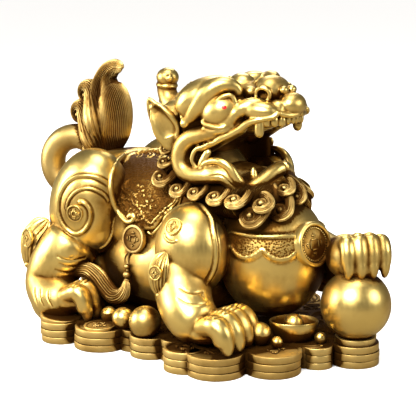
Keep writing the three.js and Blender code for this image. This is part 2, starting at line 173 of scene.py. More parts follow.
def write_points(mesh: bpy.types.Mesh, points: np.ndarray) -> None:
    """Moves a mesh's vertices to the rows of points."""
    mesh.vertices.foreach_set("co", points.astype(np.float32).ravel())
    mesh.update()


def write_shares(mesh: bpy.types.Mesh, name: str, values: np.ndarray) -> None:
    """Leaves one number for each vertex on a mesh, for the shaders to read."""
    layer = mesh.attributes.new(name, "FLOAT", "POINT")
    layer.data.foreach_set("value", values.astype(np.float32))


def triangles(mesh: bpy.types.Mesh) -> int:
    """Counts the triangles that a mesh's faces make."""
    return len(mesh.loops) - 2 * len(mesh.polygons)


def settle(piece: bpy.types.Object) -> None:
    """Gives a piece the mesh that its modifiers make, and drops them."""
    rough = piece.data
    depsgraph = bpy.context.evaluated_depsgraph_get()
    piece.data = bpy.data.meshes.new_from_object(piece.evaluated_get(depsgraph))
    piece.data.name = piece.name
    piece.modifiers.clear()
    bpy.data.meshes.remove(rough)


def slim(piece: bpy.types.Object) -> None:
    """Thins a piece's mesh to its share of the triangles, most where the skin is plain."""
    share = MOST_TRIANGLES.get(piece.name, USUAL_TRIANGLES) / triangles(piece.data)
    if share < 1:
        piece.modifiers.new("slim", "DECIMATE").ratio = share
        settle(piece)


def in_order(form: bmesh.types.BMesh, name: str) -> bpy.types.Mesh:
    """Makes a mesh of a form, with its vertices and faces in an order that is the same in every run."""
    points = sorted(form.verts, key=lambda point: tuple(point.co))
    number = {point: k for k, point in enumerate(points)}
    faces = sorted([number[point] for point in face.verts] for face in form.faces)
    mesh = bpy.data.meshes.new(name)
    mesh.from_pydata([point.co for point in points], [], faces)
    form.free()
    return mesh


@lru_cache(maxsize=None)
def unit_ball(sides: int, rings: int) -> bpy.types.Mesh:
    """Makes a ball of radius 1 once for each count of sides and rings, and returns its mesh."""
    form = bmesh.new()
    bmesh.ops.create_uvsphere(form, u_segments=sides, v_segments=rings, radius=1)
    return in_order(form, f"ball_{sides}_{rings}")


def spindle(
    stations: Sequence[Station],
    wide: float = 1.0,
    across: Sequence[float] = SIDEWAYS,
    sides: int = 20,
    rings: int = 28,
    blunt: float = 0.14,
    flutes: int = 0,
    depth: float = 0.12,
    ripples: int = 0,
    twist: float = 0.0,
) -> bpy.types.Mesh:
    """Carries the rings of a ball along a curve, as for a limb, a lock of hair or a horn.

    Args:
        stations: x, y, z and radius of each station.
        wide: width of the section along `across`, as a share of its thickness.
        across: the direction that the section is wide in.
        sides: sides of the section.
        rings: rings along the curve.
        blunt: share of the length over which each end is rounded.
        flutes: how many strands run along the form.
        depth: depth of the flutes or ripples, as a share of the radius.
        ripples: how many strands run round the form.
        twist: how far the strands wind round the form from end to end, in radians.

    Returns:
        A closed mesh with its faces outwards.
    """
    mesh = unit_ball(sides, rings).copy()
    ball = read_rows(mesh)
    share = np.arccos(np.clip(ball[:, 2], -1, 1)) / math.pi
    values, rates = follow(stations, share)
    way = unit_rows(rates[:, :3])
    broad = np.array(across, float) - way * (way @ np.array(across, float))[:, None]
    broad = unit_rows(broad)
    thin = np.cross(broad, way)
    end = np.minimum(share, 1 - share) / blunt
    radius = values[:, 3] * np.sqrt(1 - (1 - np.minimum(end, 1)) ** 2)
    angle = np.arctan2(ball[:, 1], ball[:, 0])
    if flutes:
        radius = radius * (1 - depth * np.abs(np.sin(angle * flutes / 2)))
    if ripples:
        radius = radius * (1 - depth * np.abs(np.sin(share * ripples * math.pi)))
    angle = angle + twist * share
    offset = broad * (np.cos(angle) * radius * wide)[:, None] + thin * (np.sin(angle) * radius)[:, None]
    write_points(mesh, values[:, :3] + offset)
    return mesh


def boss(
    centre: Vector,
    radii: Sequence[float],
    turn: Sequence[float] = (0, 0, 0),
    sides: int = 40,
    rings: int = 24,
) -> bpy.types.Mesh:
    """Makes an egg-shaped form.

    Args:
        centre: where its middle goes, in millimetres.
        radii: its half sizes along X, Y and Z before it is turned.
        turn: degrees about X, Y and Z.
        sides: meridians of the form.
        rings: rings of the form.

    Returns:
        A closed mesh.
    """
    mesh = unit_ball(sides, rings).copy()
    angles = [math.radians(a) for a in turn]
    mesh.transform(
        Matrix.Translation(centre)
        @ Matrix.Rotation(angles[2], 4, "Z")
        @ Matrix.Rotation(angles[1], 4, "Y")
        @ Matrix.Rotation(angles[0], 4, "X")
        @ Matrix.Diagonal((*radii, 1))
    )
    return mesh


def facing(direction: Sequence[float], centre: Vector) -> Matrix:
    """Returns the matrix that stands a form's Z along a direction, with its middle at centre."""
    return Matrix.Translation(centre) @ Vector(direction).to_track_quat("Z", "Y").to_matrix().to_4x4()


@dataclass
class Wax:
    """Forms that are pressed into one another before a piece is cast from them."""

    forms: bmesh.types.BMesh = field(default_factory=bmesh.new)

    def press(self, *meshes: bpy.types.Mesh) -> "Wax":
        """Adds meshes to the wax, and returns it."""
        for mesh in meshes:
            self.forms.from_mesh(mesh)
            bpy.data.meshes.remove(mesh)
        return self

    def set_out(self, name: str) -> bpy.types.Object:
        """Makes a piece of the forms as they are, and returns it."""
        mesh = bpy.data.meshes.new(name)
        self.forms.to_mesh(mesh)
        self.forms.free()
        mesh.shade_smooth()
        mesh.set_sharp_from_angle(angle=math.radians(SHARP_ANGLE))
        piece = bpy.data.objects.new(name, mesh)
        bpy.context.scene.collection.objects.link(piece)
        return piece

    def cast(self, name: str, grain: float, softening: int) -> bpy.types.Object:
        """Melts the forms into one skin.

        Args:
            name: the piece's name.
            grain: size of the skin's faces in millimetres.
            softening: how many times the joints between forms are smoothed at that grain.

        Returns:
            The piece, still in millimetres.
        """
        piece = self.set_out(name)
        melt = piece.modifiers.new("melt", "REMESH")
        melt.mode = "VOXEL"
        coarser = 1
        melt.voxel_size = grain * coarser
        melt.use_smooth_shade = True
        soften = piece.modifiers.new("soften", "SMOOTH")
        soften.factor = 0.5
        soften.iterations = max(round(softening / coarser**2), 1)
        settle(piece)
        return piece


class Carving:
    """The chasing of one cast piece with ridges, grooves and raised fields."""

    far = 60.0  # how far off a line is thrown at the skin from
    stray = 25.0  # how far from its station a thrown point may land

    def __init__(self, piece: bpy.types.Object) -> None:
        """Takes up a piece that is still in millimetres."""
        self.piece = piece
        self.points = read_rows(piece.data)
        self.matting = np.zeros(len(self.points))
        # Painted shade: darkening of the skin where it would lie in shade, as inside the mouth
        self.painted_shade = np.zeros(len(self.points))
        self.refresh()

    def refresh(self) -> None:
        """Writes the points back to the mesh and reads its normals anew."""
        write_points(self.piece.data, self.points)
        self.normals = read_rows(self.piece.data, "normal")
        form = bmesh.new()
        form.from_mesh(self.piece.data)
        self.skin = BVHTree.FromBMesh(form)
        form.free()

    def drape(self, stations: Sequence[Station], outward: Sequence[float], count: int = 40) -> np.ndarray:
        """Lays a smooth line on the skin.

        Args:
            stations: x, y, z of points near the skin.
            outward: the direction that the line is laid on from.
            count: how many points the line gets.

        Returns:
            The line's points on the skin.
        """
        line, _ = follow(stations, np.linspace(0, 1, count))
        away = Vector(outward).normalized()
        laid = []
        for row in line[:, :3]:
            spot = Vector(row)
            hit, _, _, _ = self.skin.ray_cast(spot + away * self.far, -away, self.far * 2)
            if hit is None or (hit - spot).length > self.stray:
                hit = self.skin.find_nearest(spot)[0]
            laid.append(hit)
        return np.array(laid)

    def lay(self, stations: Sequence[Station], count: int = 40) -> np.ndarray:
        """Lays a smooth line on the skin, each of its points where the skin is nearest.

        Args:
            stations: x, y, z of points near the skin.
            count: how many points the line gets.

        Returns:
            The line's points on the skin.
        """
        line, _ = follow(stations, np.linspace(0, 1, count))
        return np.array([self.skin.find_nearest(Vector(row[:3]))[0] for row in line])

    def distance(self, line: np.ndarray, reach: float) -> tuple[np.ndarray, np.ndarray, np.ndarray]:
        """Measures how far the vertices are from a line.

        Args:
            line: the line's points.
            reach: vertices further than this are left out.

        Returns:
            The near vertices' indices, their distances, and their shares along the line.
        """
        low, high = line.min(0) - reach, line.max(0) + reach
        near = np.flatnonzero(((self.points > low) & (self.points < high)).all(1))
        best = np.full(len(near), np.inf)
        share = np.zeros(len(near))
        spots = self.points[near]
        for i in range(len(line) - 1):
            way = line[i + 1] - line[i]
            along = np.clip((spots - line[i]) @ way / max(way @ way, 1e-9), 0, 1)
            gap = np.linalg.norm(spots - line[i] - along[:, None] * way, axis=1)
            closer = gap < best
            best[closer] = gap[closer]
            share[closer] = ((i + along) / (len(line) - 1))[closer]
        kept = best < reach
        return near[kept], best[kept], share[kept]

    def stroke(
        self, line: np.ndarray, width: float, height: float, cut: Cut = Cut.RIDGE, taper: float = 0.12
    ) -> None:
        """Raises or sinks the skin along a line.

        Args:
            line: the line's points on the skin.
            width: half the width of the stroke in millimetres.
            height: how high or deep it is.
            cut: its section.
            taper: share of its length over which each end runs out.
        """
        reach = width * (2 if cut is Cut.WELT else 1)
        near, gap, share = self.distance(line, reach)
        across = gap / width
        if cut is Cut.GROOVE:
            profile = -((1 - across) ** 1.5)
        elif cut is Cut.WELT:
            crown, foot = np.cos(across * math.pi / 2), -0.15 * np.sin((across - 1) * math.pi)
            profile = np.where(across < 1, crown, foot)
        elif cut is Cut.SWELL:
            profile = (1 - across**2) ** 2
        else:
            profile = np.cos(across * math.pi / 2)
        ends = np.clip(np.minimum(share, 1 - share) / max(taper, 1e-6), 0, 1) ** 0.5 if taper else 1
        self.points[near] += self.normals[near] * (profile * ends * height)[:, None]

    def draw(
        self, stations: Sequence[Station], outward: Sequence[float], count: int, *section: float | Cut
    ) -> None:
        """Lays a line on the skin from outside and works a stroke along it.

        Args:
            stations: x, y, z of points near the skin.
            outward: the direction that the line is laid on from.
            count: how many points the line gets.
            section: the stroke's width, height, cut and taper.
        """
        self.stroke(self.drape(stations, outward, count), *section)

    def raise_field(self, field_heights: np.ndarray) -> None:
        """Moves every vertex out along its normal by its own height."""
        self.points += self.normals * field_heights[:, None]

    def finish(self) -> bpy.types.Object:
        """Leaves the matting and the painted shade on the mesh as attributes, and returns the piece."""
        self.refresh()
        write_shares(self.piece.data, "matting", self.matting)
        write_shares(self.piece.data, "painted_shade", self.painted_shade)
        return self.piece


def smooth_step(values: np.ndarray, low: float, high: float) -> np.ndarray:
    """Returns 0 below low, 1 above high and a soft rise between."""
    t = np.clip((values - low) / (high - low), 0, 1)
    return t * t * (3 - 2 * t)


def inside_outline(spots: np.ndarray, outline: Sequence[Sequence[float]]) -> np.ndarray:
    """Measures how deep flat spots lie inside a closed outline.

    Args:
        spots: rows of two values.
        outline: the outline's corners.

    Returns:
        The distance to the nearest edge, negative outside.
    """
    corners = np.array(outline, float)
    best = np.full(len(spots), np.inf)
    inside = np.zeros(len(spots), bool)
    for a, b in zip(corners, np.roll(corners, -1, axis=0)):
        way = b - a
        along = np.clip((spots - a) @ way / (way @ way), 0, 1)
        best = np.minimum(best, np.linalg.norm(spots - a - along[:, None] * way, axis=1))
        crosses = (a[1] > spots[:, 1]) != (b[1] > spots[:, 1])
        rise = way[1] if abs(way[1]) > 1e-9 else 1e-9
        inside ^= crosses & (spots[:, 0] < way[0] * (spots[:, 1] - a[1]) / rise + a[0])
    return np.where(inside, best, -best)


def snail(
    root: Sequence[float],
    eye: Sequence[float],
    bend: Sequence[float],
    size: float,
    turns: float = 1.3,
    thick: float = 0.34,
    flutes: int = 16,
) -> list[bpy.types.Mesh]:
    """Models a flat lock of hair that winds up into a snail with a bead at its eye.

    Args:
        root: where the lock leaves the head.
        eye: the middle of the snail.
        bend: the side that the lock passes the eye on.
        size: radius of the snail.
        turns: how often it winds.
        thick: half the width of the lock at its root, as a share of size.
        flutes: strands in the lock.

    Returns:
        The lock and its bead.
    """
    centre = np.array(eye, float)
    start = np.array(root, float)
    u = centre - start
    u /= np.linalg.norm(u)
    v = np.array(bend, float)
    v -= u * (v @ u)
    v /= np.linalg.norm(v)
    face = np.cross(u, v)
    shoulder = start + (centre - start) * 0.35 + v * size * 0.5
    stations = [(*start, size * thick * 1.2), (*shoulder, size * thick * 1.1)]
    count = 14
    for i in range(count + 1):
        share = i / count
        angle = math.pi * 0.5 - share * turns * 2 * math.pi
        reach = size * (0.74 - 0.58 * share)
        spot = centre + v * math.sin(angle) * reach + u * math.cos(angle) * reach
        stations.append((*spot, size * thick * (1 - 0.5 * share)))
    lock = spindle(
        stations, wide=0.95, across=face, sides=4 * flutes, rings=56, blunt=0.06, flutes=flutes, depth=0.16
    )
    beads = [at(*(centre + face * size * 0.16 * k)) for k in (-1, 1)]
    return [lock, *[boss(bead, [size * 0.25] * 3, sides=14, rings=10) for bead in beads]]


def turned(profile: Sequence[Sequence[float]], place: Matrix, steps: int = 48) -> bpy.types.Mesh:
    """Turns a profile on a lathe.

    Args:
        profile: radius and height of each point, from the axis out and back to it.
        place: where the turned form goes.
        steps: sides of the form.

    Returns:
        A closed mesh with its faces outwards.
    """
    form = bmesh.new()
    points = [form.verts.new((radius, 0, height)) for radius, height in profile]
    edges = [form.edges.new(pair) for pair in zip(points, points[1:])]
    bmesh.ops.spin(
        form, geom=points + edges, axis=UPWARD, cent=(0, 0, 0),
        steps=steps, angle=2 * math.pi, use_merge=True,
    )
    bmesh.ops.remove_doubles(form, verts=form.verts, dist=1e-4)
    bmesh.ops.recalc_face_normals(form, faces=form.faces)
    form.transform(place)
    return in_order(form, "turned")


def ring(place: Matrix, radius: float, tube: float, steps: int = 40, sides: int = 10) -> bpy.types.Mesh:
    """Turns a round ring of the given radius and tube about the middle of place."""
    loop = [
        (radius + tube * math.cos(2 * math.pi * k / sides), tube * math.sin(2 * math.pi * k / sides))
        for k in range(sides)
    ]
    return turned([*loop, loop[0]], place, steps)


def coin(place: Matrix, radius: float, thickness: float, rings: int = 0) -> bpy.types.Mesh:
    """Turns a coin with a rounded edge and a raised rim on both faces.

    Args:
        place: the middle of the coin, with Z along its axis.
        radius: its radius.
        thickness: its thickness at the rim.
        rings: how many rings of edges lie across each sunk face.

    Returns:
        A closed mesh.
    """
    half, rim = thickness / 2, min(radius * 0.16, 3.2)
    face = half - min(thickness * 0.14, 0.9)
    corner = min(0.5, half * 0.3)
    plain = radius - rim * 1.2 - 1.0
    upper = [
        (0, face),
        *[(plain * (k + 1) / (rings + 1), face) for k in range(rings)],
        (plain, face),
        (radius - rim * 1.2, face),
        (radius - rim, half - 0.1),
        (radius - corner, half),
        (radius - corner * 0.3, half - corner * 0.3),
        (radius, half - corner),
    ]
    return turned([*upper, *[(r, -z) for r, z in reversed(upper)]], place)


def square_motif(place: Matrix, size: float, tube: float) -> list[bpy.types.Mesh]:
    """Lays the square hole's border and four short strokes, which are no letters, on a coin's face.

    Args:
        place: the middle of the face, with Z out of it.
        size: half the width of the square.
        tube: radius of each stroke.

    Returns:
        The strokes.
    """
    bars = []
    for quarter in range(4):
        turn = place @ Matrix.Rotation(quarter * math.pi / 2, 4, "Z")
        bars.append((turn, (-size, size, 0), (size, size, 0)))
        bars.append((turn, (-size * 0.7, size * 1.75, 0), (size * 0.7, size * 1.75, 0)))
        bars.append((turn, (0, size * 1.35, 0), (0, size * 2.3, 0)))
    meshes = []
    ground = Vector((0, 0, BASE_TOP))
    for turn, start, end in bars:
        first, last = turn @ Vector(start), turn @ Vector(end)
        stations = [(*(spot - ground), tube) for spot in (first, (first + last) / 2, last)]
        meshes.append(spindle(stations, across=(0.3, 0.2, 0.9), sides=6, rings=6, blunt=0.2))
    return meshes


@dataclass(frozen=True)
class Muscle:
    """A round muscle of a flank, with the eye that its line winds round."""

    centre: tuple[float, float, float]
    radii: tuple[float, float, float]
    lean: float = 0.0
    eye: tuple[float, float] = (0.0, 0.0)

    def form(self, side: Side) -> bpy.types.Mesh:
        """Returns the muscle's egg-shaped form on a flank."""
        x, y, z = self.centre
        return boss(at(x, y * side.value, z), self.radii, (0, self.lean, 0))

    def spot(self, side: Side, across: float, up: float) -> tuple[Vector, Vector]:
        """Finds a point of the muscle's outer face.

        Args:
            side: the flank.
            across: how far forward of its middle, along its own width.
            up: how far above its middle, along its own height.

        Returns:
            The point, measured from the coins' tops as a station is, and the way out.
        """
        rx, ry, rz = self.radii
        out = math.sqrt(max(1 - (across / rx) ** 2 - (up / rz) ** 2, 0.01))
        turn = Matrix.Rotation(math.radians(self.lean), 3, "Y")
        offset = turn @ Vector((across, side.value * ry * out, up))
        normal = turn @ Vector((across / rx**2, side.value * out / ry, up / rz**2))
        x, y, z = self.centre
        return Vector((x, y * side.value, z)) + offset, normal.normalized()


def winding(
    eye: Sequence[float], angles: tuple[float, float], reaches: tuple[float, float]
) -> list[tuple[float, float]]:
    """Winds a flat spiral.

    Args:
        eye: its middle.
        angles: first and last angle in degrees, from forward over up.
        reaches: first and last distance from the eye.

    Returns:
        Its points.
    """
    count = max(int(abs(angles[1] - angles[0]) / 20), 3)
    points = []
    for share in np.linspace(0, 1, count + 1):
        angle = math.radians(angles[0] + (angles[1] - angles[0]) * share)
        reach = reaches[0] + (reaches[1] - reaches[0]) * share
        points.append((eye[0] + math.cos(angle) * reach, eye[1] + math.sin(angle) * reach))
    return points


def seal(muscle: Muscle, side: Side, radius: float = 8.5) -> list[bpy.types.Mesh]:
    """Sets the small coin in relief, with its square motif, at a muscle's eye."""
    spot, way = muscle.spot(side, *muscle.eye)
    place = facing(way, at(*spot))
    face = place @ Matrix.Translation((0, 0, 1.9))
    return [coin(place, radius, 3.6, 4), *square_motif(face, radius * 0.29, 1.0)]


@dataclass
class Torso:
    """The barrel, chest and rump with the saddle cloth, the collar and the crest of the back."""

    barrel: tuple[float, float, float] = (90, 61, 60)
    barrel_centre: tuple[float, float, float] = (-56, 0, 88)
    chest: tuple[float, float, float] = (52, 51, 59)
    chest_centre: tuple[float, float, float] = (78, 0, 70)
    flank: float = 62
    leaf_tip: float = 3.4
    cloth_raise: float = 2.6
    crest_leaves: int = 9
    crest_start: float = -106
    crest_step: float = 7.5
    collar_raise: float = 1.8
    collar_top: float = 97.0
    cloth: tuple[tuple[float, float], ...] = (
        (-106, 196), (-100, 152), (-92, 144), (-82, 133), (-72, 117), (-65, 104), (-52, 95), (-31, 86),
        (-18, 90), (-8, 104), (2, 118), (14, 140), (24, 196),
    )
    grain: float = 1.15

    def build(self) -> list[bpy.types.Object]:
        """Casts and chases the torso.

        Returns:
            The body, and the trims and crest laid on it.
        """
        belly = [(-112, 0, 46, 36), (-60, 0, 50, 54), (0, 0, 50, 54), (44, 0, 48, 40)]
        wax = Wax().press(
            boss(at(*self.barrel_centre), self.barrel),
            boss(at(-52, 0, 40), (94, 60, 44)),
            boss(at(-108, 0, 92), (50, 54, 55)),
            boss(at(-110, 0, 124), (31, 74, 27)),
            spindle([(-104, -60, 30, 30), (-96, 0, 30, 34), (-104, 60, 30, 30)], sides=32),
            spindle(belly, wide=1.2, sides=64, rings=60),
            boss(at(*self.chest_centre), self.chest),
            spindle([(10, 0, 80, 40), (8, 0, 118, 43), (-10, 0, 156, 34)]),
        )
        carving = Carving(wax.cast("body", self.grain, 28))
        self.raise_cloth(carving)
        self.raise_collar(carving)
        hems = self.trims(carving)
        return [carving.finish(), hems, self.crest()]

    def raise_cloth(self, carving: Carving) -> None:
        """Raises the saddle cloth out of the back, mats it and lays its sprays of leaves."""
        flat = carving.points[:, [0, 2]] - (0, BASE_TOP)
        depth = inside_outline(flat, self.cloth)
        on_back = carving.points[:, 2] > at(0, 0, 76).z
        carving.raise_field(smooth_step(depth, -0.6, 1.2) * on_back * self.cloth_raise)
        carving.matting = np.maximum(carving.matting, 1.5 * smooth_step(depth, 1.5, 3.5) * on_back)
        carving.refresh()
        stem = [
            (-74, 137), (-66, 131), (-60, 124), (-50, 121), (-43, 113), (-34, 108), (-26, 98), (-18, 96),
        ]
        curl = [(-60, 140), (-63, 133), (-58, 127), (-50, 125), (-42, 119), (-38, 111)]
        leaves = (
            (-66, 122, 6, 60), (-53, 112, 6, 20), (-44, 127, 5, 200),
            (-42, 102, 6.5, 100), (-31, 117, 6, 210), (-29, 97, 5.5, 330),
            (-16, 108, 6.5, 250), (-6, 117, 5.5, 120), (-82, 132, 5, 330),
        )
        for side in Side:
            self.sprig(carving, side, stem, 50, 1.6, 1.5)
            self.sprig(carving, side, curl, 50, 2.4, 1.5)
            for x, z, size, lean in leaves:
                leaf = winding((x, z), (lean, lean + 250), (size, size * 0.15))
                self.sprig(carving, side, leaf, 30, 1.7, 1.5)
                for turn in (130, 175, 220, 265):
                    angle = math.radians(lean + turn)
                    px, pz = x + size * math.cos(angle), z + size * math.sin(angle)
                    tip = (px + self.leaf_tip * math.cos(angle), pz + self.leaf_tip * math.sin(angle))
                    self.sprig(carving, side, [(px, pz), tip], 6, 2.1, 1.4)
        carving.refresh()

    def sprig(
        self, carving: Carving, side: Side, line: Sequence[Station], count: int, *section: float
    ) -> None:
        """Raises a line, given in x and z, out of the cloth on one flank."""
        stations = [(x, side.value * self.flank, z) for x, z in line]
        carving.draw(stations, (0, side.value, 0.5), count, *section, Cut.SWELL)

    def raise_collar(self, carving: Carving) -> None:
        """Raises the matted collar band with its scalloped lower edge and two smooth borders."""
        x0, y0, z0 = self.chest_centre
        spots = carving.points
        bearing = np.degrees(np.arctan2(spots[:, 1] - y0, spots[:, 0] - x0))
        height = spots[:, 2] - BASE_TOP
        turn = np.abs(bearing)
        front = spots[:, 0] > x0 - 16
        inside = np.minimum(self.collar_top - height, height - self.scallop(turn))
        band = smooth_step(inside, -0.5, 1.0) * front
        carving.raise_field(band * self.collar_raise)
        carving.matting = np.maximum(carving.matting, 0.8 * smooth_step(inside, 1.6, 2.6) * front)
        carving.refresh()
        for side in Side:
            for edge in (lambda _: self.collar_top, lambda bearing: float(self.scallop(bearing))):
                stations = []
                for degrees in np.arange(0, 106, 2):
                    angle = math.radians(degrees)
                    z = edge(degrees)
                    shrink = math.sqrt(max(1 - ((z - z0) / self.chest[2]) ** 2, 0.05))
                    ahead = self.chest[0] * shrink * math.cos(angle)
                    aside = self.chest[1] * shrink * math.sin(angle)
                    stations.append((x0 + ahead, side.value * aside, z))
                line, _ = follow(stations, np.linspace(0, 1, 200))
                carving.stroke(line[:, :3], 3.4, 1.9, taper=0)
        carving.refresh()

    @staticmethod
    def scallop(turn: np.ndarray | float) -> np.ndarray | float:
        """Returns the height of the collar's lower edge at a bearing from forward, in degrees."""
        return 85.5 - 9.5 * np.abs(np.sin(np.radians((np.asarray(turn, float) - 25) * 180 / 38))) ** 0.8

    def trims(self, carving: Carving) -> bpy.types.Object:
        """Rolls the smooth hems along the edges of the cloth.

        Args:
            carving: the body that they lie on.

        Returns:
            The hems.
        """
        rear = [
            (-94, 16, 147), (-88, 28, 147), (-78, 46, 145), (-70.5, 58, 140), (-68, 63.5, 132),
            (-66, 66, 123), (-64.5, 64.5, 112), (-62, 61, 102.5), (-54.5, 61.5, 96.5), (-47, 62, 93.5),
            (-41.5, 61.5, 95), (-40, 61, 98.5), (-43, 61, 100.5), (-46, 61.5, 98.5), (-45, 62, 97),
        ]
        front = [(6, 40, 125), (1, 46, 117), (-8, 55, 104), (-18, 60, 90.5), (-23, 61, 86.5), (-27, 61, 88)]
        band = [(2, 40, 127), (-3, 46, 119), (-12, 55, 107), (-21, 60, 95)]
        wax = Wax()
        for side in Side:
            for stations, radius, ends in ((rear, 2.9, 0.03), (front, 1.5, 0.05), (band, 1.0, 0.1)):
                tube = [(*station, radius) for station in mirrored(stations, side)]
                if stations is not rear:
                    line = carving.drape(tube, (0, side.value, 0.55), 24)
                    tube = [(x, y, z - BASE_TOP, radius) for x, y, z in line]
                wax.press(spindle(tube, sides=16, rings=110, blunt=ends))
        return wax.set_out("cloth_hems")

    def crest(self) -> bpy.types.Object:
        """Sets the leafy crest along the spine, and returns it."""
        wax = Wax()
        x0, _, z0 = self.barrel_centre
        for k in range(self.crest_leaves):
            x = self.crest_start + k * self.crest_step
            top = z0 + self.barrel[2] * math.sqrt(1 - ((x - x0) / self.barrel[0]) ** 2) + 1.5
            for side in Side:
                eye = (x + 4, side.value * (9 + 4 * (k % 2)), top - 1.5)
                root = (x - 5, side.value * 1, top)
                wax.press(*snail(root, eye, (1, 0, 0.2), 6.5, turns=1.1, flutes=5))
            spine = [(x - 5, 0, top - 3, 3), (x, 0, top + 2, 3.6), (x + 5, 0, top + 1, 1.2)]
            wax.press(spindle(spine, sides=12))
            wax.press(boss(at(x, -14, top - 3), (2.4, 2.4, 2)), boss(at(x + 3, 14, top - 3), (2.4, 2.4, 2)))
        return wax.set_out("back_crest")


HAUNCH = Muscle((-106, 55, 103), (41, 37, 57), 18, (15, 2))
SHOULDER = Muscle((35, 64, 79), (35, 34, 42), 0, (1, 26))


@dataclass
class Paw:
    """A paw with four toes side by side, bent at the knuckle, with the claws down."""

    wrist: tuple[float, float, float]
    length: float
    height: float
    width: float
    turn: float = 0.0
    drop: float = 0.0
    toes: int = 4

    def bearings(self) -> tuple[np.ndarray, np.ndarray]:
        """Returns the ways ahead of the paw and to its left."""
        heading = math.radians(self.turn)
        return (
            np.array((math.cos(heading), math.sin(heading), 0)),
            np.array((-math.sin(heading), math.cos(heading), 0)),
        )

    def spread(self) -> Iterable[tuple[float, float]]:
        """Yields each toe's place across the paw, from -1 to 1, and its share of the full reach."""
        for k in range(self.toes):
            side = (2 * k + 1) / self.toes - 1
            yield side, 1 - 0.14 * abs(side)

    def forms(self) -> list[bpy.types.Mesh]:
        """Models the pad, the toes with their knuckles, and the claws.

        Returns:
            The closed forms of the paw.
        """
        ahead, aside = self.bearings()
        base = np.array(self.wrist)

        def station(forward: float, side: float, up: float, radius: float) -> tuple[float, ...]:
            """Returns a station at shares of the paw's length, half width and height."""
            spot = base + ahead * forward * self.length + aside * side * self.width / 2
            return (*(spot + np.array((0, 0, up * self.height))), radius * self.height)

        pad = [
            station(-0.5, 0, 0.3, 0.3),
            station(0, 0, 0.5, 0.44),
            station(0.45, 0, 0.5, 0.38),
            station(0.75, 0, 0.3, 0.26),
        ]
        forms = [spindle(pad, wide=self.width / self.height * 0.92, across=aside)]
        thick = self.width / self.toes / self.height * 0.6
        for side, reach in self.spread():
            arch = 1 - 0.12 * abs(side) ** 2
            toe = [
                station(-0.2, side * 0.6, 0.55, thick * 0.8),
                station(0.35, side * 0.85, 0.8 * arch, thick * 0.98),
                station(0.7 * reach, side * 0.97, 0.88 * arch, thick * 1.08),
                station(0.95 * reach, side, 0.66, thick * 1.06),
                station(1.03 * reach, side, 0.42, thick * 1.0),
                station(1.03 * reach, side, 0.24, thick * 0.84),
            ]
            claw = [
                station(0.9 * reach, side, 0.52, thick * 0.74),
                station(1.11 * reach, side, 0.36, thick * 0.82),
                station(1.14 * reach, side, 0.17 - self.drop, thick * 0.62),
                station(1.06 * reach, side, 0.02 - self.drop, thick * 0.22),
            ]
            forms.append(spindle(toe, across=aside, sides=24, rings=36))
            forms.append(spindle(claw, wide=0.94, across=aside, sides=20, rings=30, blunt=0.1))
        return forms

    def crease(self, carving: Carving) -> None:
        """Cuts the three creases across each toe."""
        ahead, aside = self.bearings()
        half = self.width / self.toes * 0.42
        for side, reach in self.spread():
            for share in (0.5, 0.66, 0.84):
                middle = np.array(self.wrist) + ahead * share * reach * self.length
                middle = middle + aside * side * 0.92 * self.width / 2 + np.array((0, 0, self.height))
                stations = [tuple(middle + aside * half * s - ahead * abs(s) * 1.5) for s in (-1, 0, 1)]
                carving.draw(stations, UPWARD, 14, 1.7, 1.5, Cut.GROOVE, 0.2)


def fin(
    stations: Sequence[Station], side: Side, wide: float, tilt: Sequence[float]
) -> list[bpy.types.Mesh]:
    """Models a teardrop tuft of hair at a joint, with strands, a raised edge, a coin and a bead.

    Args:
        stations: its middle line from top to bottom, for the left flank.
        side: the flank it is on.
        wide: its thickness across the flank, as a share of its breadth.
        tilt: the way its broad face looks, for the left flank.

    Returns:
        The closed forms of the tuft.
    """
    line = mirrored(stations, side)
    forms = [spindle(line, wide=wide, sides=64, rings=60, flutes=16, depth=0.16)]
    way = Vector((tilt[0], tilt[1] * side.value, tilt[2])).normalized()
    values, _ = follow(line, np.array([0.38, 0.8]))
    thick = values[0][3]
    place = facing(way, Vector(values[0][:3]) + way * thick * wide * 0.85)
    forms.append(coin(place, thick * 0.62, 3.0, 3))
    forms += square_motif(place @ Matrix.Translation((0, 0, 1.6)), 1.7, 0.6)
    forms.append(boss(Vector(values[1][:3]) + way * values[1][3] * wide, [3.2] * 3, sides=16, rings=10))
    return forms


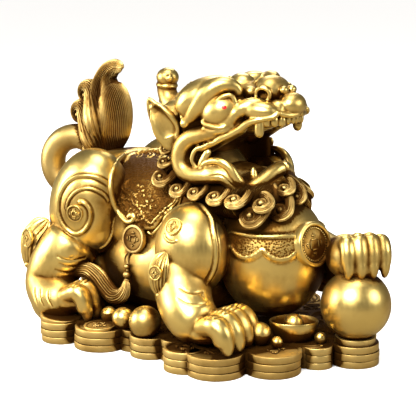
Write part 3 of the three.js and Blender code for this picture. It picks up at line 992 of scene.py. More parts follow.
@dataclass
class HindLeg:
    """A haunch with its winding line, the hock with its tuft, and the hind paw."""

    side: Side
    grain: float = 0.95

    def build(self) -> list[bpy.types.Object]:
        """Casts and chases the leg, and returns its pieces."""
        s, name = self.side.value, self.side.name.lower()
        paw = Paw((-95, 98 * s, -1), length=27, height=35, width=40, turn=-18 * s, toes=3)
        leg = [
            (-108, 66, 76, 26), (-116, 76, 60, 28), (-124, 84, 44, 27),
            (-128, 92, 26, 23), (-110, 102, 14, 20), (-98, 104, 12, 17),
        ]
        wax = Wax().press(HAUNCH.form(self.side), spindle(mirrored(leg, self.side), sides=32, rings=36))
        wax.press(*paw.forms(), boss(at(-111, 98 * s, 13), (27, 23, 24)))
        wax.press(boss(at(-98, 54 * s, 85), (29, 27, 31)))
        carving = Carving(wax.cast(f"{name}_hind_leg", self.grain, 24))
        self.chase(carving, paw)
        tuft = [(-134, 84, 88, 8), (-144, 94, 72, 15), (-147, 97, 50, 12), (-144, 96, 32, 4)]
        trim = Wax().press(*fin(tuft, self.side, 0.5, (-0.25, 1, 0.1)), *seal(HAUNCH, self.side))
        return [carving.finish(), trim.set_out(f"{name}_hind_tuft")]

    def chase(self, carving: Carving, paw: Paw) -> None:
        """Cuts the haunch's winding lines, the wrinkles of the hock and the paw's creases."""
        outer = [
            (-67, 67, 128), (-71, 71, 132), (-77, 76, 135.5), (-85, 81, 136.5), (-93, 84, 135),
            (-101, 87, 130), (-108, 90, 121), (-111.5, 91, 111), (-112, 92, 101), (-109, 91, 91),
            (-103, 89, 83), (-96, 86, 79), (-88, 83, 81.5), (-81.5, 82, 88.5), (-78, 82, 97),
            (-78.5, 83, 105.5), (-82.5, 86, 111), (-88, 88, 112),
        ]
        inner = [
            (-66, 68, 111.5), (-68, 72, 118), (-72.5, 77, 122.5), (-80, 82, 125), (-88, 87, 123),
            (-94.5, 90, 117.5), (-99, 91, 110), (-100.5, 92, 102.5),
        ]
        rim = [(-58, 62, 94), (-55, 62, 84), (-58, 64, 72), (-66, 66, 62), (-78, 70, 55)]
        for places, width, height in ((outer, 2.3, 2.1), (inner, 1.7, 1.4), (rim, 1.7, 1.2)):
            carving.stroke(carving.lay(mirrored(places, self.side), 110), width, height, Cut.WELT, 0.06)
        carving.refresh()
        s = self.side.value
        for k, (x, z) in enumerate(((-92, 54), (-90, 47), (-94, 41))):
            stations = [(x - 12, 106 * s, z + 5), (x, 108 * s, z), (x + 14, 98 * s, z + 3)]
            carving.draw(stations, (0.2, s, 0), 24, 2.2, 1.6 - 0.3 * k, Cut.GROOVE, 0.35)
        for x in (-118, -110, -101):
            stations = [(x - 3, 112 * s, 28), (x, 114 * s, 20), (x + 5, 112 * s, 12)]
            carving.draw(stations, (0.1, s, 0), 20, 2.0, 1.2, Cut.GROOVE, 0.3)
        paw.crease(carving)
        carving.refresh()


@dataclass
class Foreleg:
    """A shoulder with its sweeping line, the foreleg with its elbow tuft, and the paw."""

    side: Side
    grain: float = 0.95

    def build(self) -> list[bpy.types.Object]:
        """Casts and chases the leg, and returns its pieces."""
        if self.side is Side.RIGHT:
            paw = Paw((70, -84, 0), length=32, height=32, width=62, turn=10)
            leg = [
                (33, -66, 80, 24), (32, -74, 62, 28), (38, -81, 46, 26),
                (54, -90, 28, 24), (76, -90, 14, 20),
            ]
        else:
            paw = Paw((157, 24, 60), length=25, height=39, width=45, turn=-38, drop=0.03)
            leg = [(48, 62, 70, 30), (86, 60, 58, 27), (120, 46, 60, 24), (150, 29, 80, 20)]
        wax = Wax().press(SHOULDER.form(self.side), spindle(leg, sides=32, rings=36), *paw.forms())
        if self.side is Side.LEFT:
            wax.press(boss(at(104, 50, 47), (26, 22, 19)), boss(at(151, 17, 75), (21, 20, 20)))
            wax.press(boss(at(164, 14, 70), (19, 19, 12)))
        name = self.side.name.lower()
        carving = Carving(wax.cast(f"{name}_foreleg", self.grain, 20))
        self.chase(carving, paw)
        trim = Wax().press(*seal(SHOULDER, self.side))
        if self.side is Side.RIGHT:
            tuft = [
                (33, 97, 83, 4), (30, 101, 74, 9), (28.5, 102.5, 63, 11),
                (28.5, 103, 52, 9.5), (30, 101, 43, 5), (32, 98, 36, 2),
            ]
            trim.press(*fin(tuft, self.side, 0.6, (0.1, 1, 0.1)))
        return [carving.finish(), trim.set_out(f"{name}_fore_trim")]

    def chase(self, carving: Carving, paw: Paw) -> None:
        """Cuts the shoulder's line, the wrinkles of the wrist and the paw's creases."""
        x, y, z = SHOULDER.centre
        rim = [
            (-27, 10, 22), (-22, 6, 30), (-10, -2, 37), (2.7, -6, 40), (11.8, -2.8, 38),
            (21.6, -0.4, 31.7), (28.9, 4.9, 20.8), (32.9, 6.3, 6.4), (31.6, 8, -11.5), (23.8, 11, -25.8),
        ]
        hook = [(-8.5, 33, 21), (-6, 33, 17), (-1.7, 34, 14.8), (4.3, 34, 14), (9, 34, 16.3)]
        s = self.side.value
        for places, width, height in ((rim, 2.4, 2.2), (hook, 1.1, 1.0)):
            line = carving.lay([(x + a, (y + b) * s, z + c) for a, b, c in places], 120)
            carving.stroke(line, width, height, Cut.WELT, 0.06)
        carving.refresh()
        if self.side is Side.RIGHT:
            for top, height in ((54, 1.3), (46, 1.0)):
                stations = [(50, 98 * s, top), (60, 95 * s, top - 4), (76, 88 * s, top - 5)]
                carving.draw(stations, (0.4, s, 0), 24, 1.9, height, Cut.GROOVE, 0.35)
        paw.crease(carving)
        carving.refresh()


@dataclass
class Head:
    """The raised open-mouthed head with its lips, eyes, brows, ears, horn and teeth."""

    grain: float = 0.8
    pupil: float = 2.3
    tuck: tuple[float, float] = (6, 7)

    def build(self) -> list[bpy.types.Object]:
        """Casts and chases the head.

        Returns:
            The head, its teeth and the red dots of its eyes.
        """
        wax = Wax().press(*self.skull(), *self.horn())
        for side in Side:
            wax.press(*self.cheek(side), *self.muzzle(side), *self.brow(side), *self.ear(side))
        carving = Carving(wax.cast("head", self.grain, 11))
        self.chase(carving)
        return [carving.finish(), self.teeth(), self.pupils(carving)]

    def lining(self) -> list[bpy.types.Object]:
        """Closes the mouth at its back with a wall and a tongue, darkened as painted shade, and returns the
        piece.
        """
        wall = [
            (22, -36, 160, 3.2), (12, -20, 160, 3.2), (10, 4, 160, 3.2),
            (24, 30, 160, 3.2), (47, 37, 161, 3.0),
        ]
        tongue = [(16, 0, 146, 8), (45, 0, 144, 8), (66, 0, 142, 6), (78, 0, 145, 3)]
        wax = Wax().press(
            spindle(wall, 8.5, UPWARD, sides=40, rings=60, blunt=0.04),
            spindle(tongue, 2.6, sides=32, rings=40),
        )
        return [wax.set_out("mouth_lining")]

    def skull(self) -> list[bpy.types.Mesh]:
        """Returns the forms on the middle line of the head."""
        forms = [
            boss(at(2, 0, 190), (40, 43, 36)),
            spindle([(10, 0, 192, 26), (54, 0, 200, 20), (92, 0, 206, 11)], wide=1.55, sides=32),
            spindle([(0, 0, 134, 15), (48, 0, 131, 13), (80, 0, 141, 8)], wide=2.5, sides=32),
            boss(at(77, 0, 223.5), (15, 18, 12.5), (0, 12, 0)),
            boss(at(99, 0, 211), (12, 14, 11)),
            boss(at(41, 0, 222), (15, 14, 14)),
            spindle([(36, 0, 212, 18), (60, 0, 215, 14), (84, 0, 214, 12)], wide=1.25, sides=24),
            spindle([(56, 0, 222, 6), (63, 0, 230, 4.5), (66, 0, 237, 1.6)], 1.4, sides=14, rings=16),
        ]
        lip_rim = [(95, 21, 209, 1.6), (99, 18, 204.5, 2.4), (104, 10, 202.5, 2.6), (107, 0, 203, 2.6)]
        forms.append(spindle(both_flanks(lip_rim), sides=14, rings=50))
        chin = [
            (69, 35, 138, 5.6), (75, 28, 137, 7), (80, 20, 141, 7.6),
            (84, 12, 147, 7.4), (87, 5, 151, 7), (88, 0, 152, 6.8),
        ]
        under = [
            (60, 42, 142, 5), (68, 38, 135, 6), (76, 31, 130, 6.4),
            (83, 21, 131.5, 6.6), (87, 11, 137, 6.6), (89, 0, 140, 6.6),
        ]
        forms += [spindle(both_flanks(roll), sides=20, rings=80) for roll in (chin, under)]
        for side in Side:
            s = side.value
            nostril = facing((0.35, s, -0.1), at(79.5, s * 18.5, 220))
            forms += [
                boss(at(94, s * 6, 224), (4.2, 5, 4), sides=16, rings=10),
                boss(at(64, s * 17, 221), (7, 6, 6), sides=16, rings=10),
                ring(nostril, 6.3, 2.5),
                boss(at(92, s * 13, 208), (9, 8, 8)),
            ]
        return forms

    def cheek(self, side: Side) -> list[bpy.types.Mesh]:
        """Returns the rolled cheek, the lips and the loop at the corner of the mouth."""
        roll = [
            (65.5, 34, 210, 5), (60.5, 36, 202, 7), (53.5, 39, 193, 7.5), (43.5, 43, 186, 7.5),
            (31, 45.5, 182, 8), (20, 47, 178.5, 8.5), (11, 48, 170.5, 9), (7.5, 47.5, 158.5, 9.5),
            (11.5, 47.5, 148.5, 9.5), (23, 47, 144.5, 9), (36, 46, 145.5, 8.5), (50, 45.5, 147, 8),
            (61.5, 43, 144, 5),
        ]
        upper_lip = [
            (30, 49, 167.5, 2.2), (37, 48.5, 171.5, 2.6), (44.5, 46.5, 175.5, 2.8), (52.5, 44.5, 180.5, 3),
            (60.5, 41, 184.5, 3.2), (68.5, 38, 189.5, 3.4), (75.5, 35, 195.5, 3.4), (83.5, 32.5, 198.5, 3),
            (92, 28.5, 200.5, 2.6), (98, 24.5, 202.5, 2.4), (101, 21, 207.5, 2),
        ]
        loop = [
            (46, 49, 177.5, 1.8), (37, 50, 172.5, 2.2), (29, 50.5, 169.5, 2.4), (25, 50.5, 164.5, 2.6),
            (24, 50.5, 158.5, 2.6), (27, 49.5, 153.5, 2.4), (31, 49, 150.5, 2),
        ]
        lower_lip = [
            (30, 49, 151.5, 2.2), (38, 48.5, 157.5, 3), (48.5, 47.5, 160.5, 3.4), (56.5, 46.5, 159.5, 3.8),
            (63.5, 44, 154.5, 4.2), (68, 41, 145.5, 4.8), (71, 34.5, 136.5, 5.2),
        ]
        bulge = [
            (34, 47.5, 147.5, 7), (45.5, 45.5, 148.5, 8), (55.5, 43.5, 146.5, 8), (63.5, 41, 140, 6),
            (69.5, 37.5, 134.5, 4),
        ]
        forms = []
        for line, sides, rings, blunt in (
            (roll, 28, 90, 0.06), (upper_lip, 16, 60, 0.08), (loop, 14, 50, 0.08),
            (lower_lip, 16, 60, 0.08), (bulge, 20, 40, 0.14),
        ):
            places = self.tucked(line) if side is Side.LEFT else line
            forms.append(spindle(mirrored(places, side), sides=sides, rings=rings, blunt=blunt))
        inner = [(20, 34, 172, 12), (44, 33, 184, 11), (68, 28, 196, 9)]
        return [
            *forms,
            spindle(mirrored(inner, side), sides=24),
            boss(at(26, side.value * 38, 146), (24, 10, 11)),
        ]

    def tucked(self, line: Sequence[Station]) -> list[Station]:
        """Draws the rear of the far cheek in, so that the near one hides it in the mouth."""
        ahead, inward = self.tuck
        moved = []
        for x, y, z, radius in line:
            share = min(max((72 - x) / 30, 0), 1)
            moved.append((x - ahead * share, y - inward * share, z, radius))
        return moved

    def muzzle(self, side: Side) -> list[bpy.types.Mesh]:
        """Returns the puff of the muzzle, the eyeball and its lids."""
        s = side.value
        lid = [
            (35.5, 49, 193.5, 1.4), (38, 49, 199, 1.6), (42, 48, 205, 1.8), (47.5, 46, 212.5, 2),
            (53.5, 43.5, 218.5, 2.2), (60, 39, 219.5, 2.2), (63.5, 37, 211.5, 2), (63, 37, 203, 1.6),
            (61.5, 39.5, 197, 1.2),
        ]
        lower = [
            (33.5, 49, 197, 1.4), (36, 50, 194, 1.8), (45, 49, 191.5, 2), (55, 46, 191, 2),
            (61, 40, 196, 1.6), (62.5, 36.5, 203, 1.2),
        ]
        bag = [(34.5, 50, 190, 1.4), (44, 49, 187, 2), (55, 46, 187.5, 2), (61.5, 41, 191, 1.4)]
        crow = [
            (65, 32, 216.5, 2), (63, 36, 208.5, 2.2), (60, 39, 201.5, 2.2), (56, 42, 194.5, 2),
            (51.5, 45, 190, 1.4),
        ]
        lids = [
            spindle(mirrored(line, side), sides=12, rings=50, blunt=0.08)
            for line in (lid, lower, bag, crow)
        ]
        bridge = [(58, 36, 200, 6), (66, 32, 207, 7.5), (74, 27, 211, 7), (84, 20, 212, 5)]
        cheekbone = [(30, 40, 186, 9), (48, 39, 188, 8), (62, 34, 197, 8)]
        return [
            boss(at(80, s * 24, 206.5), (19, 11.5, 9.5), (0, 4, s * -12)),
            spindle(mirrored(bridge, side)),
            spindle(mirrored(cheekbone, side), sides=24),
            boss(at(45, s * 36, 204), (20, 15.5, 15.5), (0, -26, s * -12)),
            *lids,
        ]

    def brow(self, side: Side) -> list[bpy.types.Mesh]:
        """Returns the swept brow with its curled lower end and the two cords behind it."""
        sweep = [
            (15.5, 51.5, 188.5, 2.5), (18, 50.5, 194.5, 4), (21.5, 49.5, 199, 6.2), (26.5, 47, 207.5, 9),
            (32.5, 43, 217.5, 10.2), (41, 38.5, 224.5, 9.8), (50, 34, 227.5, 8),
            (57.5, 29.5, 225, 5.5), (61.5, 28, 217.5, 3),
        ]
        front = [(20, 52, 194.5, 2), (17, 50.5, 198.5, 2.4), (9.5, 45.5, 208.5, 3), (3.5, 36.5, 217.5, 3)]
        rear = [(13, 52, 195.5, 1.8), (12, 51, 197.5, 2.2), (7, 45.5, 206.5, 2.6), (0, 35.5, 215.5, 2.6)]
        cords = ([*front, (3, 24.5, 227.5, 2.4)], [*rear, (-1, 25, 225.5, 2.2)])
        forms = [spindle(mirrored(sweep, side), 1.1, (1, 0, 0.6), sides=24, rings=70, blunt=0.06)]
        plate = [(6, 41, 198, 12), (17, 38, 211, 16.5), (30, 30, 219, 16), (46, 20, 221, 13)]
        forms.append(spindle(mirrored(plate, side), 1.2, sides=24, rings=40))
        forms.append(boss(at(20, side.value * 24, 214), (28, 18, 15), (0, -16, 0)))
        forms += [spindle(mirrored(cord, side), sides=12, rings=60, blunt=0.05) for cord in cords]
        forms.append(boss(at(14, side.value * 50.5, 191.5), (4.2, 4, 4.2), sides=16, rings=12))
        for k in range(4):
            x, y = 9 * k, -2 * k
            tuft = [(x - 4, y + 15, 220 + 1.5 * k, 3), (x, y + 14, 226 + k, 3.2), (x + 6, y + 11, 229, 1)]
            forms.append(spindle(mirrored(tuft, side), sides=10, rings=14))
        return forms

    def ear(self, side: Side) -> list[bpy.types.Mesh]:
        """Returns the leaf-shaped ear with its folded rim."""
        s = side.value
        leaf = [
            (4, 42, 164, 5), (-1, 46, 172, 11), (-6, 50, 185, 14.5), (-11, 55, 198, 11), (-17, 60, 211, 3),
        ]
        rim = [
            (3, 44, 164, 1.6), (-9, 48, 169, 2.2), (-17, 53, 180, 2.4), (-20, 57, 193, 2.4),
            (-21, 60, 205, 2.2), (-19.5, 61, 213, 1.8), (-13, 60, 209, 2.2), (-7, 57, 205, 2.6),
            (1, 53, 197, 2.8), (5, 49, 187, 2.6), (3, 48, 176, 2.2), (4, 46, 167, 1.6),
        ]
        root = [(-16, 44, 190, 6), (-8, 42, 200, 10), (4, 38, 200, 12)]
        return [
            spindle(mirrored(leaf, side), wide=0.4, across=(0.64, 0.77 * s, 0.2), sides=28, rings=40),
            spindle(mirrored(rim, side), sides=12, rings=80, blunt=0.06),
            spindle(mirrored(root, side), sides=20),
        ]

    def horn(self) -> list[bpy.types.Mesh]:
        """Returns the horn at the back of the crown, with its collar, knob, bumps and prong."""
        stalk = [
            (-12, 0, 178, 22), (-34, 0, 193, 15), (-47, 0, 203, 10.5),
            (-52, 0, 213, 9.5), (-52, 0, 221, 10),
        ]
        forms = [
            spindle(stalk, sides=28, rings=40),
            boss(at(-51, 0, 226), (11, 11, 9.5)),
            spindle([(-44, 0, 197, 8), (-40, 0, 204, 5), (-38, 0, 209, 1.5)], sides=14, rings=20),
            spindle([(-57, 0, 201, 5), (-59, 0, 207, 2.6), (-58, 0, 211, 1)], sides=12, rings=12),
            ring(facing((0.1, 0, 1), at(-52, 0, 218.5)), 9.6, 1.5),
        ]
        for angle in (-40, 140):
            turn = math.radians(angle)
            spot = at(-51 + math.cos(turn) * 11.5, math.sin(turn) * 11.5, 226)
            forms.append(boss(spot, (3.4, 3.4, 3.8), sides=16, rings=10))
        return forms

    def chase(self, carving: Carving) -> None:
        """Sinks the nostrils and ears, cuts the lines of the lids, lips, nose and palate, and paints shade
        inside the mouth.
        """
        for side in Side:
            s = side.value
            nostril = [(82, 19 * s, 220), (80, 19 * s, 220.2), (78, 18.5 * s, 220.4)]
            carving.draw(nostril, (0.35, s, -0.1), 8, 5.0, 7.0, Cut.GROOVE, 0)
            cup = [(-3, 52 * s, 178), (-7, 55 * s, 188), (-11, 58 * s, 198), (-15, 61 * s, 206)]
            carving.draw(cup, (0.64, s * 0.77, 0.1), 24, 9, -2.0, Cut.SWELL, 0.2)
            for k in range(3):
                z = 224 + 3.2 * k
                furrow = [
                    (2 + 2 * k, (36 - 8 * k) * s, z - 6),
                    (14 + k, (32 - 7 * k) * s, z),
                    (27, (26 - 6 * k) * s, z),
                ]
                carving.draw(furrow, (0, 0.6 * s, 1), 24, 1.3, 1.2, Cut.GROOVE, 0.3)
            lip_line = [(44, 46 * s, 148), (56, 44 * s, 149), (66, 40 * s, 140), (76, 32 * s, 130)]
            carving.draw(lip_line, (0.3, s, -0.1), 30, 1.5, 1.0, Cut.GROOVE, 0.2)
        for x in range(36, 92, 8):
            fold = [(x, -24, 178), (x + 4, 0, 176), (x, 24, 178)]
            carving.stroke(carving.lay(fold, 24), 2.4, 1.6, Cut.GROOVE, 0.2)
        # Paints shade inside the open mouth, darkest in its middle, where the jaws would shade it
        mouth = (carving.points - at(42, 0, 163)) / (46, 43, 27)
        carving.painted_shade = 0.95 * smooth_step(1 - np.linalg.norm(mouth, axis=1), 0, 0.2)
        carving.refresh()

    def teeth(self) -> bpy.types.Object:
        """Sets the canines, tusks, lower teeth and the row of incisors, and returns them."""
        wax = Wax()
        for side in Side:
            for line, wide in (
                ([(83, 28, 201, 5), (83.5, 29, 192, 5), (84, 29, 182.5, 4.4)], 0.75),
                ([(75, 24, 138, 5.4), (74, 24, 146, 4.6), (73.5, 24, 155, 1.8)], 0.95),
                ([(40, 46, 171, 3.6), (38, 47.5, 165, 4), (34, 49, 158, 3.6), (30, 50.5, 151, 1.4)], 0.7),
            ):
                wax.press(spindle(mirrored(line, side), wide, sides=20, blunt=0.26))
            for x, y, turn in ((89, 25, 28), (94, 20, 40), (98, 14.5, 54)):
                spot = at(x, y * side.value, 197.5)
                wax.press(boss(spot, (2.6, 3.8, 5.4), (0, 0, turn * side.value), sides=16, rings=12))
        for y in (-8, -2.7, 2.7, 8):
            wax.press(boss(at(102 - abs(y) * 0.2, y, 198.5), (2.6, 3.0, 4.6), sides=16, rings=12))
        return wax.set_out("teeth")

    def pupils(self, carving: Carving) -> bpy.types.Object:
        """Lays the red dot on each eyeball, and returns the two dots."""
        wax = Wax()
        for side in Side:
            s = side.value
            spot, way, _, _ = carving.skin.ray_cast(at(57.5, s * 90, 209.5), Vector((0, -s, 0)), 120)
            dot = boss(Vector((0, 0, 0)), (self.pupil, self.pupil * 0.8, 0.9), sides=16, rings=8)
            dot.transform(facing(way, spot))
            wax.press(dot)
        return wax.set_out("pupils")


@dataclass
class Mane:
    """The ruff under the head and the snail locks that hang from it.

    Each lock is given by its eye, its root and its size. The front ones are drawn in on the far flank.
    """

    locks: tuple[tuple[tuple[float, ...], tuple[float, ...], float], ...] = (
        ((-10, 50, 166), (2, 44, 172), 6.5),
        ((-8, 54, 154), (2, 44, 160), 7.5),
        ((-10, 56, 140), (1, 46, 149), 10.5),
        ((12, 58, 131), (18, 48, 139), 9.5),
        ((33, 58, 130.5), (40, 48, 138), 8.5),
        ((56, 57, 129), (62, 44, 137), 10),
        ((76, 54, 128), (80, 38, 136), 11),
        ((99, 44, 126), (90, 36, 133), 11.5),
        ((90, 48, 115), (100, 32, 133), 12.5),
        ((102, 14, 136), (97, 5, 144), 9.5),
        ((109, 5, 128), (104, -2, 138), 9),
        ((105, 25, 118), (99, 10, 134), 12),
    )

    def build(self) -> list[bpy.types.Object]:
        """Lays out the ruff and its locks, and returns them."""
        ruff = spindle(
            [(-24, 0, 152, 22), (14, 0, 130, 22), (68, 0, 124, 24), (97, 0, 124, 16)],
            wide=2.25, sides=96, rings=300, blunt=0.1, ripples=76, depth=0.06,
        )
        pieces = [Wax().press(ruff).set_out("ruff")]
        for side in Side:
            wax = Wax()
            for eye, root, size in self.locks:
                far = smooth_step(np.array(eye[0]), 60, 100) if side is Side.LEFT else 0
                place, start = (
                    (x - 8 * far, y * side.value * (1 - 0.3 * far), z) for x, y, z in (eye, root)
                )
                wax.press(*snail(start, place, (1, -0.25 * side.value, 0), size))
            chin = [(88, 14, 140, 3.5), (92, 16, 134, 5.4), (94, 17, 127, 5.0), (94, 18, 121, 1.6)]
            wax.press(spindle(mirrored(chin, side), 0.7, sides=16))
            pieces.append(wax.set_out(f"{side.name.lower()}_mane_locks"))
        return pieces


@dataclass
class Tail:
    """The smooth looped tail and its upright plume of hair."""

    loop_centre: tuple[float, float, float] = (-172, -6, 131)
    loop_radius: float = 27
    loop_heading: float = 25
    loop_turns: tuple[int, int, int] = (-128, -309, -36)
    tube: float = 13
    foot_knobs: int = 9

    def build(self) -> list[bpy.types.Object]:
        """Lays out the loop and the plume, and returns them."""
        cx, cy, cz = self.loop_centre
        heading = math.radians(self.loop_heading)
        stations = [(-148, 6, 92, 13)]
        for angle in range(*self.loop_turns):
            turn = math.radians(angle)
            out = math.cos(turn) * self.loop_radius
            up = math.sin(turn) * self.loop_radius
            along, across = out * math.cos(heading), out * math.sin(heading)
            stations.append((cx + along, cy + across, cz + up, self.tube))
        stations.append((-138, 4, 138, 10))
        loop = Wax().press(spindle(stations, sides=48, rings=120, blunt=0.08)).set_out("tail_loop")
        return [loop, self.plume()]

    def plume(self) -> bpy.types.Object:
        """Builds the plume: its front leaf, winding ridge, three rear locks and the knobs at its foot."""
        leaf = [
            (-133, 0, 136, 11), (-131, 0, 150, 14), (-124, 0, 170, 19), (-123, 0, 190, 20),
            (-125, 0, 204, 17), (-130, 0, 214, 11), (-130, 0, 222, 9), (-122, 0, 230, 7), (-112, 0, 231, 5),
        ]
        ridge = [
            (-138, 0, 136, 12), (-140, 0, 156, 17), (-141, 0, 178, 18), (-145, 0, 197, 14),
            (-142, 0, 214, 9.5), (-132, 0, 228, 8), (-120, 0, 234, 6), (-110, 0, 232, 3.4),
        ]
        wax = Wax().press(
            spindle(leaf, wide=0.8, sides=208, rings=120, blunt=0.1, flutes=52, depth=0.08, twist=1.1),
            spindle(ridge, wide=0.95, sides=120, rings=120, blunt=0.08, flutes=30, depth=0.09, twist=0.7),
        )
        for root, middle, eye, size in (
            ((-133, 144), (-141, 180), (-161, 201), 15),
            ((-136, 138), (-147, 164), (-172, 180), 15),
            ((-139, 135), (-150, 149), (-170, 161), 11),
        ):
            wax.press(*self.rear_lock(root, middle, eye, size))
        for k in range(self.foot_knobs):
            turn = 2 * math.pi * k / self.foot_knobs
            spot = at(-131 + 17 * math.cos(turn), 13 * math.sin(turn), 139)
            wax.press(boss(spot, (5, 5, 4), sides=14, rings=10))
        return wax.set_out("tail_plume")

    @staticmethod
    def rear_lock(
        root: Sequence[float], middle: Sequence[float], eye: Sequence[float], size: float
    ) -> list[bpy.types.Mesh]:
        """Models one swept lock of the plume that ends in a snail.

        Args:
            root: x and z where it leaves the plume's foot.
            middle: x and z of its bend.
            eye: x and z of the snail's middle.
            size: radius of the snail.

        Returns:
            The lock and the beads on either face of its eye.
        """
        stations = [(root[0], 0, root[1], size), (middle[0], 0, middle[1], size * 1.2)]
        count = 16
        for i in range(count + 1):
            share = i / count
            angle = math.radians(20 + share * 450)
            reach = size * (0.7 - 0.6 * share)
            spot = (eye[0] + math.cos(angle) * reach, 0, eye[1] + math.sin(angle) * reach)
            stations.append((*spot, size * (0.26 + 0.44 * (1 - share) ** 4 - 0.06 * share)))
        lock = spindle(stations, wide=1.2, sides=96, rings=150, blunt=0.05, flutes=24, depth=0.11)
        beads = [at(eye[0], s * size * 0.26, eye[1]) for s in (-1, 1)]
        return [lock, *[boss(bead, [size * 0.2] * 3, sides=12, rings=8) for bead in beads]]


@dataclass
class Tassel:
    """The coins, the knotted cord and the swept hair below the point of the saddle cloth."""

    side: Side

    def build(self) -> list[bpy.types.Object]:
        """Lays out the tassel, and returns it."""
        s = self.side.value
        upper = facing((0, s, 0.15), at(-36, s * 66, 79))
        lower = facing((0.2, s, 0), at(-40, s * 63, 57))
        wax = Wax().press(
            coin(upper, 13.5, 5, 6),
            *square_motif(upper @ Matrix.Translation((0, 0, 2.2)), 3.4, 0.8),
            coin(lower, 9.5, 4, 4),
            *square_motif(lower @ Matrix.Translation((0, 0, 1.8)), 2.2, 0.6),
        )
        cord = [(-40, 66, 68, 1.5), (-43, 66, 60, 1.5), (-43, 67, 50, 2.0), (-42, 69, 42, 1.6)]
        wax.press(spindle(mirrored(cord, self.side), sides=12, rings=30))
        for z, radius in ((52, 2.8), (44, 4.0), (38, 3.2)):
            wax.press(boss(at(-42, s * 70, z), (radius, radius, radius * 0.9), sides=20, rings=12))
        hair = [
            (-42, 71, 40, 3), (-41, 73, 31, 5.5), (-45, 75, 24, 7.5), (-54, 76, 22, 8.5), (-64, 77, 29, 9),
            (-73, 78, 38, 9), (-82, 80, 43, 8.5), (-92, 82, 42, 6.5), (-100, 84, 37, 3),
        ]
        line = mirrored(hair, self.side)
        wax.press(spindle(line, wide=0.9, sides=72, rings=80, blunt=0.06, flutes=20, depth=0.13))
        return [wax.set_out(f"{self.side.name.lower()}_tassel")]


@dataclass
class Medallion:
    """The round medallion on the chest, with a beaded rim and a square motif of strokes."""

    radius: float = 20.5
    thickness: float = 7
    beads: int = 40

    def build(self) -> list[bpy.types.Object]:
        """Turns and chases the medallion, and returns it."""
        place = facing((1, -0.155, 0.2), at(125.5, -5.5, 87))
        front = self.thickness
        profile = [
            *[(3.5 * k, front - 2.4) for k in range(4)],
            (self.radius - 6.8, front - 2.4),
            (self.radius - 4.4, front - 2.4),
            (self.radius - 3.6, front - 0.4),
            (self.radius - 2.6, front),
            (self.radius - 1.0, front - 0.2),
            (self.radius, front - 1.4),
            (self.radius, -front),
            (0, -front),
        ]
        wax = Wax().press(turned(profile, place, 72))
        for k in range(self.beads):
            turn = 2 * math.pi * k / self.beads
            reach = self.radius - 5.6
            spot = place @ Vector((math.cos(turn) * reach, math.sin(turn) * reach, front - 2.2))
            wax.press(boss(spot, [1.0] * 3, sides=8, rings=6))
        face = place @ Matrix.Translation((0, 0, front - 2.2))
        wax.press(*square_motif(face, 4.6, 1.0))
        return [wax.set_out("medallion")]


@dataclass
class CoinHeap:
    """The heap of coin stacks that the beast crouches on."""

    stacks: tuple[tuple[float, float, float], ...] = (
        (-92, -110, 20), (-49, -99, 26), (-18, -78, 22), (6, -89, 20), (34, -80, 20), (58, -101, 20),
        (86, -92, 27), (122, -56, 26), (144, -19, 15), (164, 12, 23), (130, 50, 28), (86, 84, 30),
        (30, 98, 30), (-30, 98, 30), (-88, 98, 30), (-134, 62, 30), (-146, 4, 30), (-128, -52, 30),
    )
    seat: tuple[float, float] = (164, 12)
    stack_seed: int = 7
    filling_seed: int = 11
    filling_step: int = 30

    def build(self) -> list[bpy.types.Object]:
        """Lays out the outer stacks and the seat of the ball, and returns them."""
        rng = np.random.default_rng(self.stack_seed)
        wax = Wax()
        for x, y, radius in self.stacks:
            for layer in range(COINS_IN_STACK):
                slip = rng.uniform(-0.7, 0.7, 2)
                place = Matrix.Translation((x + slip[0], y + slip[1], COIN_THICKNESS * (layer + 0.5)))
                place = place @ Matrix.Rotation(rng.uniform(0, 6), 4, "Z")
                wax.press(coin(place, radius - 0.6, COIN_THICKNESS - 0.5))
            face = Matrix.Translation((x, y, BASE_TOP - 0.5)) @ Matrix.Rotation(rng.uniform(0, 6), 4, "Z")
            wax.press(*square_motif(face, radius * 0.2, 1.0))
        tilted = Matrix.Translation((-94, -108, BASE_TOP + 1.0)) @ Matrix.Rotation(math.radians(7), 4, "Y")
        wax.press(coin(tilted, 20, COIN_THICKNESS * 0.8))
        on_top = Matrix.Translation((-44, -106, BASE_TOP + 0.6))
        wax.press(coin(on_top, 15, 3.2), *square_motif(on_top @ Matrix.Translation((0, 0, 1.4)), 3.6, 1.0))
        seat = Matrix.Translation((*self.seat, BASE_TOP + 2.2))
        wax.press(coin(seat, 18.5, 5.4))
        return [wax.set_out("coin_stacks")]

    def filling(self) -> list[bpy.types.Object]:
        """Fills the heap's middle with overlapping coins, and returns them."""
        rng = np.random.default_rng(self.filling_seed)
        wax = Wax()
        outline = [stack[:2] for stack in self.stacks]
        step = self.filling_step
        for column, x in enumerate(range(-140, 160, step)):
            for y in range(-90 + (column % 2) * step // 2, 100, step):
                if inside_outline(np.array([[x, y]], float), outline)[0] < 2:
                    continue
                place = Matrix.Translation((x, y, BASE_TOP / 2))
                wax.press(coin(place, 21, BASE_TOP))
                roll = Matrix.Rotation(rng.uniform(-0.05, 0.05), 4, "X")
                pitch = Matrix.Rotation(rng.uniform(-0.05, 0.05), 4, "Y")
                top = Matrix.Translation((x, y, BASE_TOP - 1.6)) @ (roll @ pitch)
                wax.press(coin(top, 19, 4), *square_motif(top @ Matrix.Translation((0, 0, 1.7)), 4, 0.9))
        return [wax.set_out("coin_filling")]


